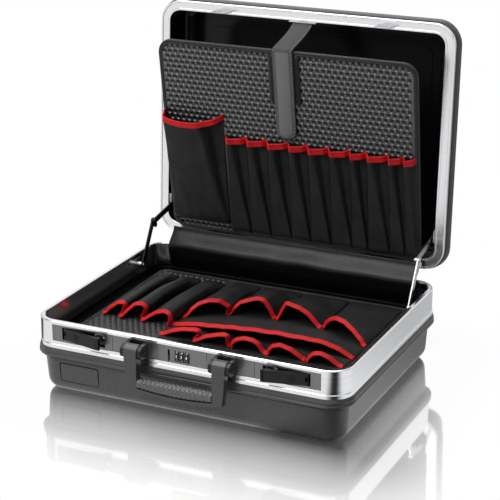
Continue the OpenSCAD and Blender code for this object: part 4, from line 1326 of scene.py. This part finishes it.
class TOOLCASE_OT_base_board(Operator):
    """Covers the base's tool board and sews its edge"""

    bl_idname = "toolcase.base_board"
    bl_label = "Base board"

    def execute(self, context):
        def plain(x, up):
            y = up - BASE_BOARD[1] / 2
            rows = LEFT_ROW + REAR_ROW + STRIP_ROW + FRONT_ROW
            return (x > -86 and y > -99) or any(
                back[0] < x < back[1] and feet[2] + 14 < y < back[2] - 2
                for _, feet, back in rows)

        make_board(context, "base", BASE_BOARD, "floor_board", up_base_board, plain, 2.0)
        return {"FINISHED"}


class TOOLCASE_OT_base_pockets(Operator):
    """Sews the four groups of pockets on the base's board and binds their mouths"""

    bl_idname = "toolcase.base_pockets"
    bl_label = "Base pockets"

    def execute(self, context):
        finishes = soft_finishes(context)
        cloth, red = finishes["cloth"], finishes["tape"]
        tape_height = mm(context.scene.toolcase_sizes.base_tape)
        tapes = Heap()
        rows = [  # columns of points, how soon the front flattens, depth of its folds, flat size
            ("base_left_pocket_cloth", "base_left_pockets", LEFT_ROW, 33, 2.6, 1.0, (0.16, 0.18)),
            ("base_rear_pocket_cloth", "base_rear_pockets", REAR_ROW, 41, 1.3, 1.4, (0.36, 0.125)),
            ("base_strip_pocket_cloth", "base_strip_pocket", STRIP_ROW, 81, 1.2, 1.2,
             (0.30, 0.048)),
            ("base_front_pocket_cloth", "base_front_pockets", FRONT_ROW, 37, 1.2, 0.8,
             (0.36, 0.036)),
        ]
        made = [base_pocket_row(*row[:6], tapes, tape_height, cloth) for row in rows]
        tape_piece = tapes.piece(
            "base_pocket_tape", red, "trim", "base_tool_board", ["base_pocket_trims"])
        ground = np.array([[(x, y, 0.5) for x in np.linspace(-82, 194, 69)]
                           for y in np.linspace(-97, 60, 40)])
        ground[:, :, 2] += np.abs(rolling(ground, 20.0, 0.5, 4.0))
        cloth_piece = Heap().skin(on_base_board(ground), 0.8).piece(
            "base_pocket_ground", cloth, "pocket_cloth", "base_tool_board")
        return {"FINISHED"}


class TOOLCASE_OT_strap_and_flap(Operator):
    """Makes the strap that holds the lid's board and the flap over the hinge"""

    bl_idname = "toolcase.strap_and_flap"
    bl_label = "Strap and flap"

    def execute(self, context):
        finishes = soft_finishes(context)
        heap, line, normal = strap_piece(mm(context.scene.toolcase_sizes.strap_width))
        strap = heap.piece("strap_leather", finishes["strap"], "strap_leather",
                           stands_for=["strap"])
        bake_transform(strap)
        threads = Heap()
        seam_at, out, length, thread = 13.1, 0.85, 3.4, 0.7
        for k in range(6, len(line) - 3, 2):
            (y, z), (ny, nz) = line[k], normal[k]
            along = np.array((0.0, *(line[k + 1] - line[k - 1])))
            for x in (-seam_at, seam_at):
                at = np.array((x, y + ny * out, z + nz * out))
                threads.stitch(at, along, (0.0, ny, nz), length, thread)
        seams = threads.piece("strap_stitches", finishes["thread"], "strap_leather")
        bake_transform(seams)
        flap = flap_piece().piece("hinge_flap_skin", finishes["flap"], "leatherette",
                                  stands_for=["hinge_flap"])
        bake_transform(flap)
        return {"FINISHED"}


class TOOLCASE_OT_grip(Operator):
    """Makes the soft sleeve of the handle"""

    bl_idname = "toolcase.grip"
    bl_label = "Handle sleeve"

    def execute(self, context):
        grip_sleeve(mm(context.scene.toolcase_sizes.diamond)).piece(
            "grip_sleeve", soft_finishes(context)["grip"], "grip", "carry_handle",
            ["handle_grip_pad"])
        return {"FINISHED"}


class TOOLCASE_OT_numbers(Operator):
    """Prints plain numbers on the dials"""

    bl_idname = "toolcase.numbers"
    bl_label = "Dial numbers"

    def execute(self, context):
        dial_numbers(soft_finishes(context)["number"],
                     mm(context.scene.toolcase_sizes.number_height))
        return {"FINISHED"}


MADE = {}


def soft_finishes(context):
    """The finishes of the soft pieces, made once."""
    if not MADE:
        colors = context.scene.toolcase_colors
        MADE.update({
            "board": leather(
                "punched_leatherette", colors.board, 0.30, 1500.0, 0.00004, shine=1.0),
            "floor_board": leather(
                "shaded_leatherette", colors.board, 0.34, 1500.0, 0.00004, shine=0.3),
            # painted shade: the dimples' bottoms near black
            "dimple_shade": leather("painted_dimple_shade", grey(0.004), 0.4, 1500.0, 0.00004, shine=0.5),
            "edge": leather("edge_leatherette", (0.012, 0.012, 0.0125), 0.4, shine=0.3),
            "flap": leather("flap_leatherette", grey(0.003), 0.27, 1100.0, 0.00005, shine=0.25),
            "strap": stitched_leather("strap_leather", colors.strap, 0.36),
            "cloth": woven("pocket_cloth", colors.cloth),
            "hook": woven("hook_loops", grey(0.004), 0.0011, 0.2),
            "tape": tape("red_tape", colors.tape),
            "thread": moulded(
                "sewing_thread", (0.06, 0.06, 0.062), 0.6, 3000.0, 0.00005, radius=0.0001),
            "grip": moulded("grip_rubber", (0.05, 0.05, 0.051), 0.25, 1800.0, 0.00003,
                            shine=0.7, radius=0.0001),
            "number": moulded("number_white", grey(0.8), 0.4, 900.0, 0.00001, radius=0.00005),
        })
    return MADE


# ---------------------------------------------------------------- panel


class TOOLCASE_PT_finish(Panel):
    """Lists the colours, the sizes and the steps"""

    bl_idname = "TOOLCASE_PT_finish"
    bl_label = "Tool case"
    bl_space_type = "VIEW_3D"
    bl_region_type = "UI"
    bl_category = "Tool case"

    def draw(self, context):
        column, scene = self.layout.column(), context.scene
        for group in (scene.toolcase_colors, scene.toolcase_sizes, scene.toolcase_studio):
            for name in group.__annotations__:
                column.prop(group, name)
        for step in STEPS:
            column.operator(step.bl_idname)


STEPS = [
    TOOLCASE_OT_stage, TOOLCASE_OT_hard_parts, TOOLCASE_OT_lid_board, TOOLCASE_OT_lid_pockets,
    TOOLCASE_OT_base_board, TOOLCASE_OT_base_pockets, TOOLCASE_OT_strap_and_flap,
    TOOLCASE_OT_grip, TOOLCASE_OT_numbers,
]
CLASSES = [CaseColors, CaseSizes, StudioSizes, *STEPS, TOOLCASE_PT_finish]


def register():
    for kind in CLASSES:
        bpy.utils.register_class(kind)
    bpy.types.Scene.toolcase_colors = PointerProperty(type=CaseColors)
    bpy.types.Scene.toolcase_sizes = PointerProperty(type=CaseSizes)
    bpy.types.Scene.toolcase_studio = PointerProperty(type=StudioSizes)


def unregister():
    del bpy.types.Scene.toolcase_studio
    del bpy.types.Scene.toolcase_sizes
    del bpy.types.Scene.toolcase_colors
    for kind in reversed(CLASSES):
        bpy.utils.unregister_class(kind)


def main():
    register()
    for step in STEPS:
        group, name = step.bl_idname.split(".")
        getattr(getattr(bpy.ops, group), name)()


if __name__ == "__main__":
    main()
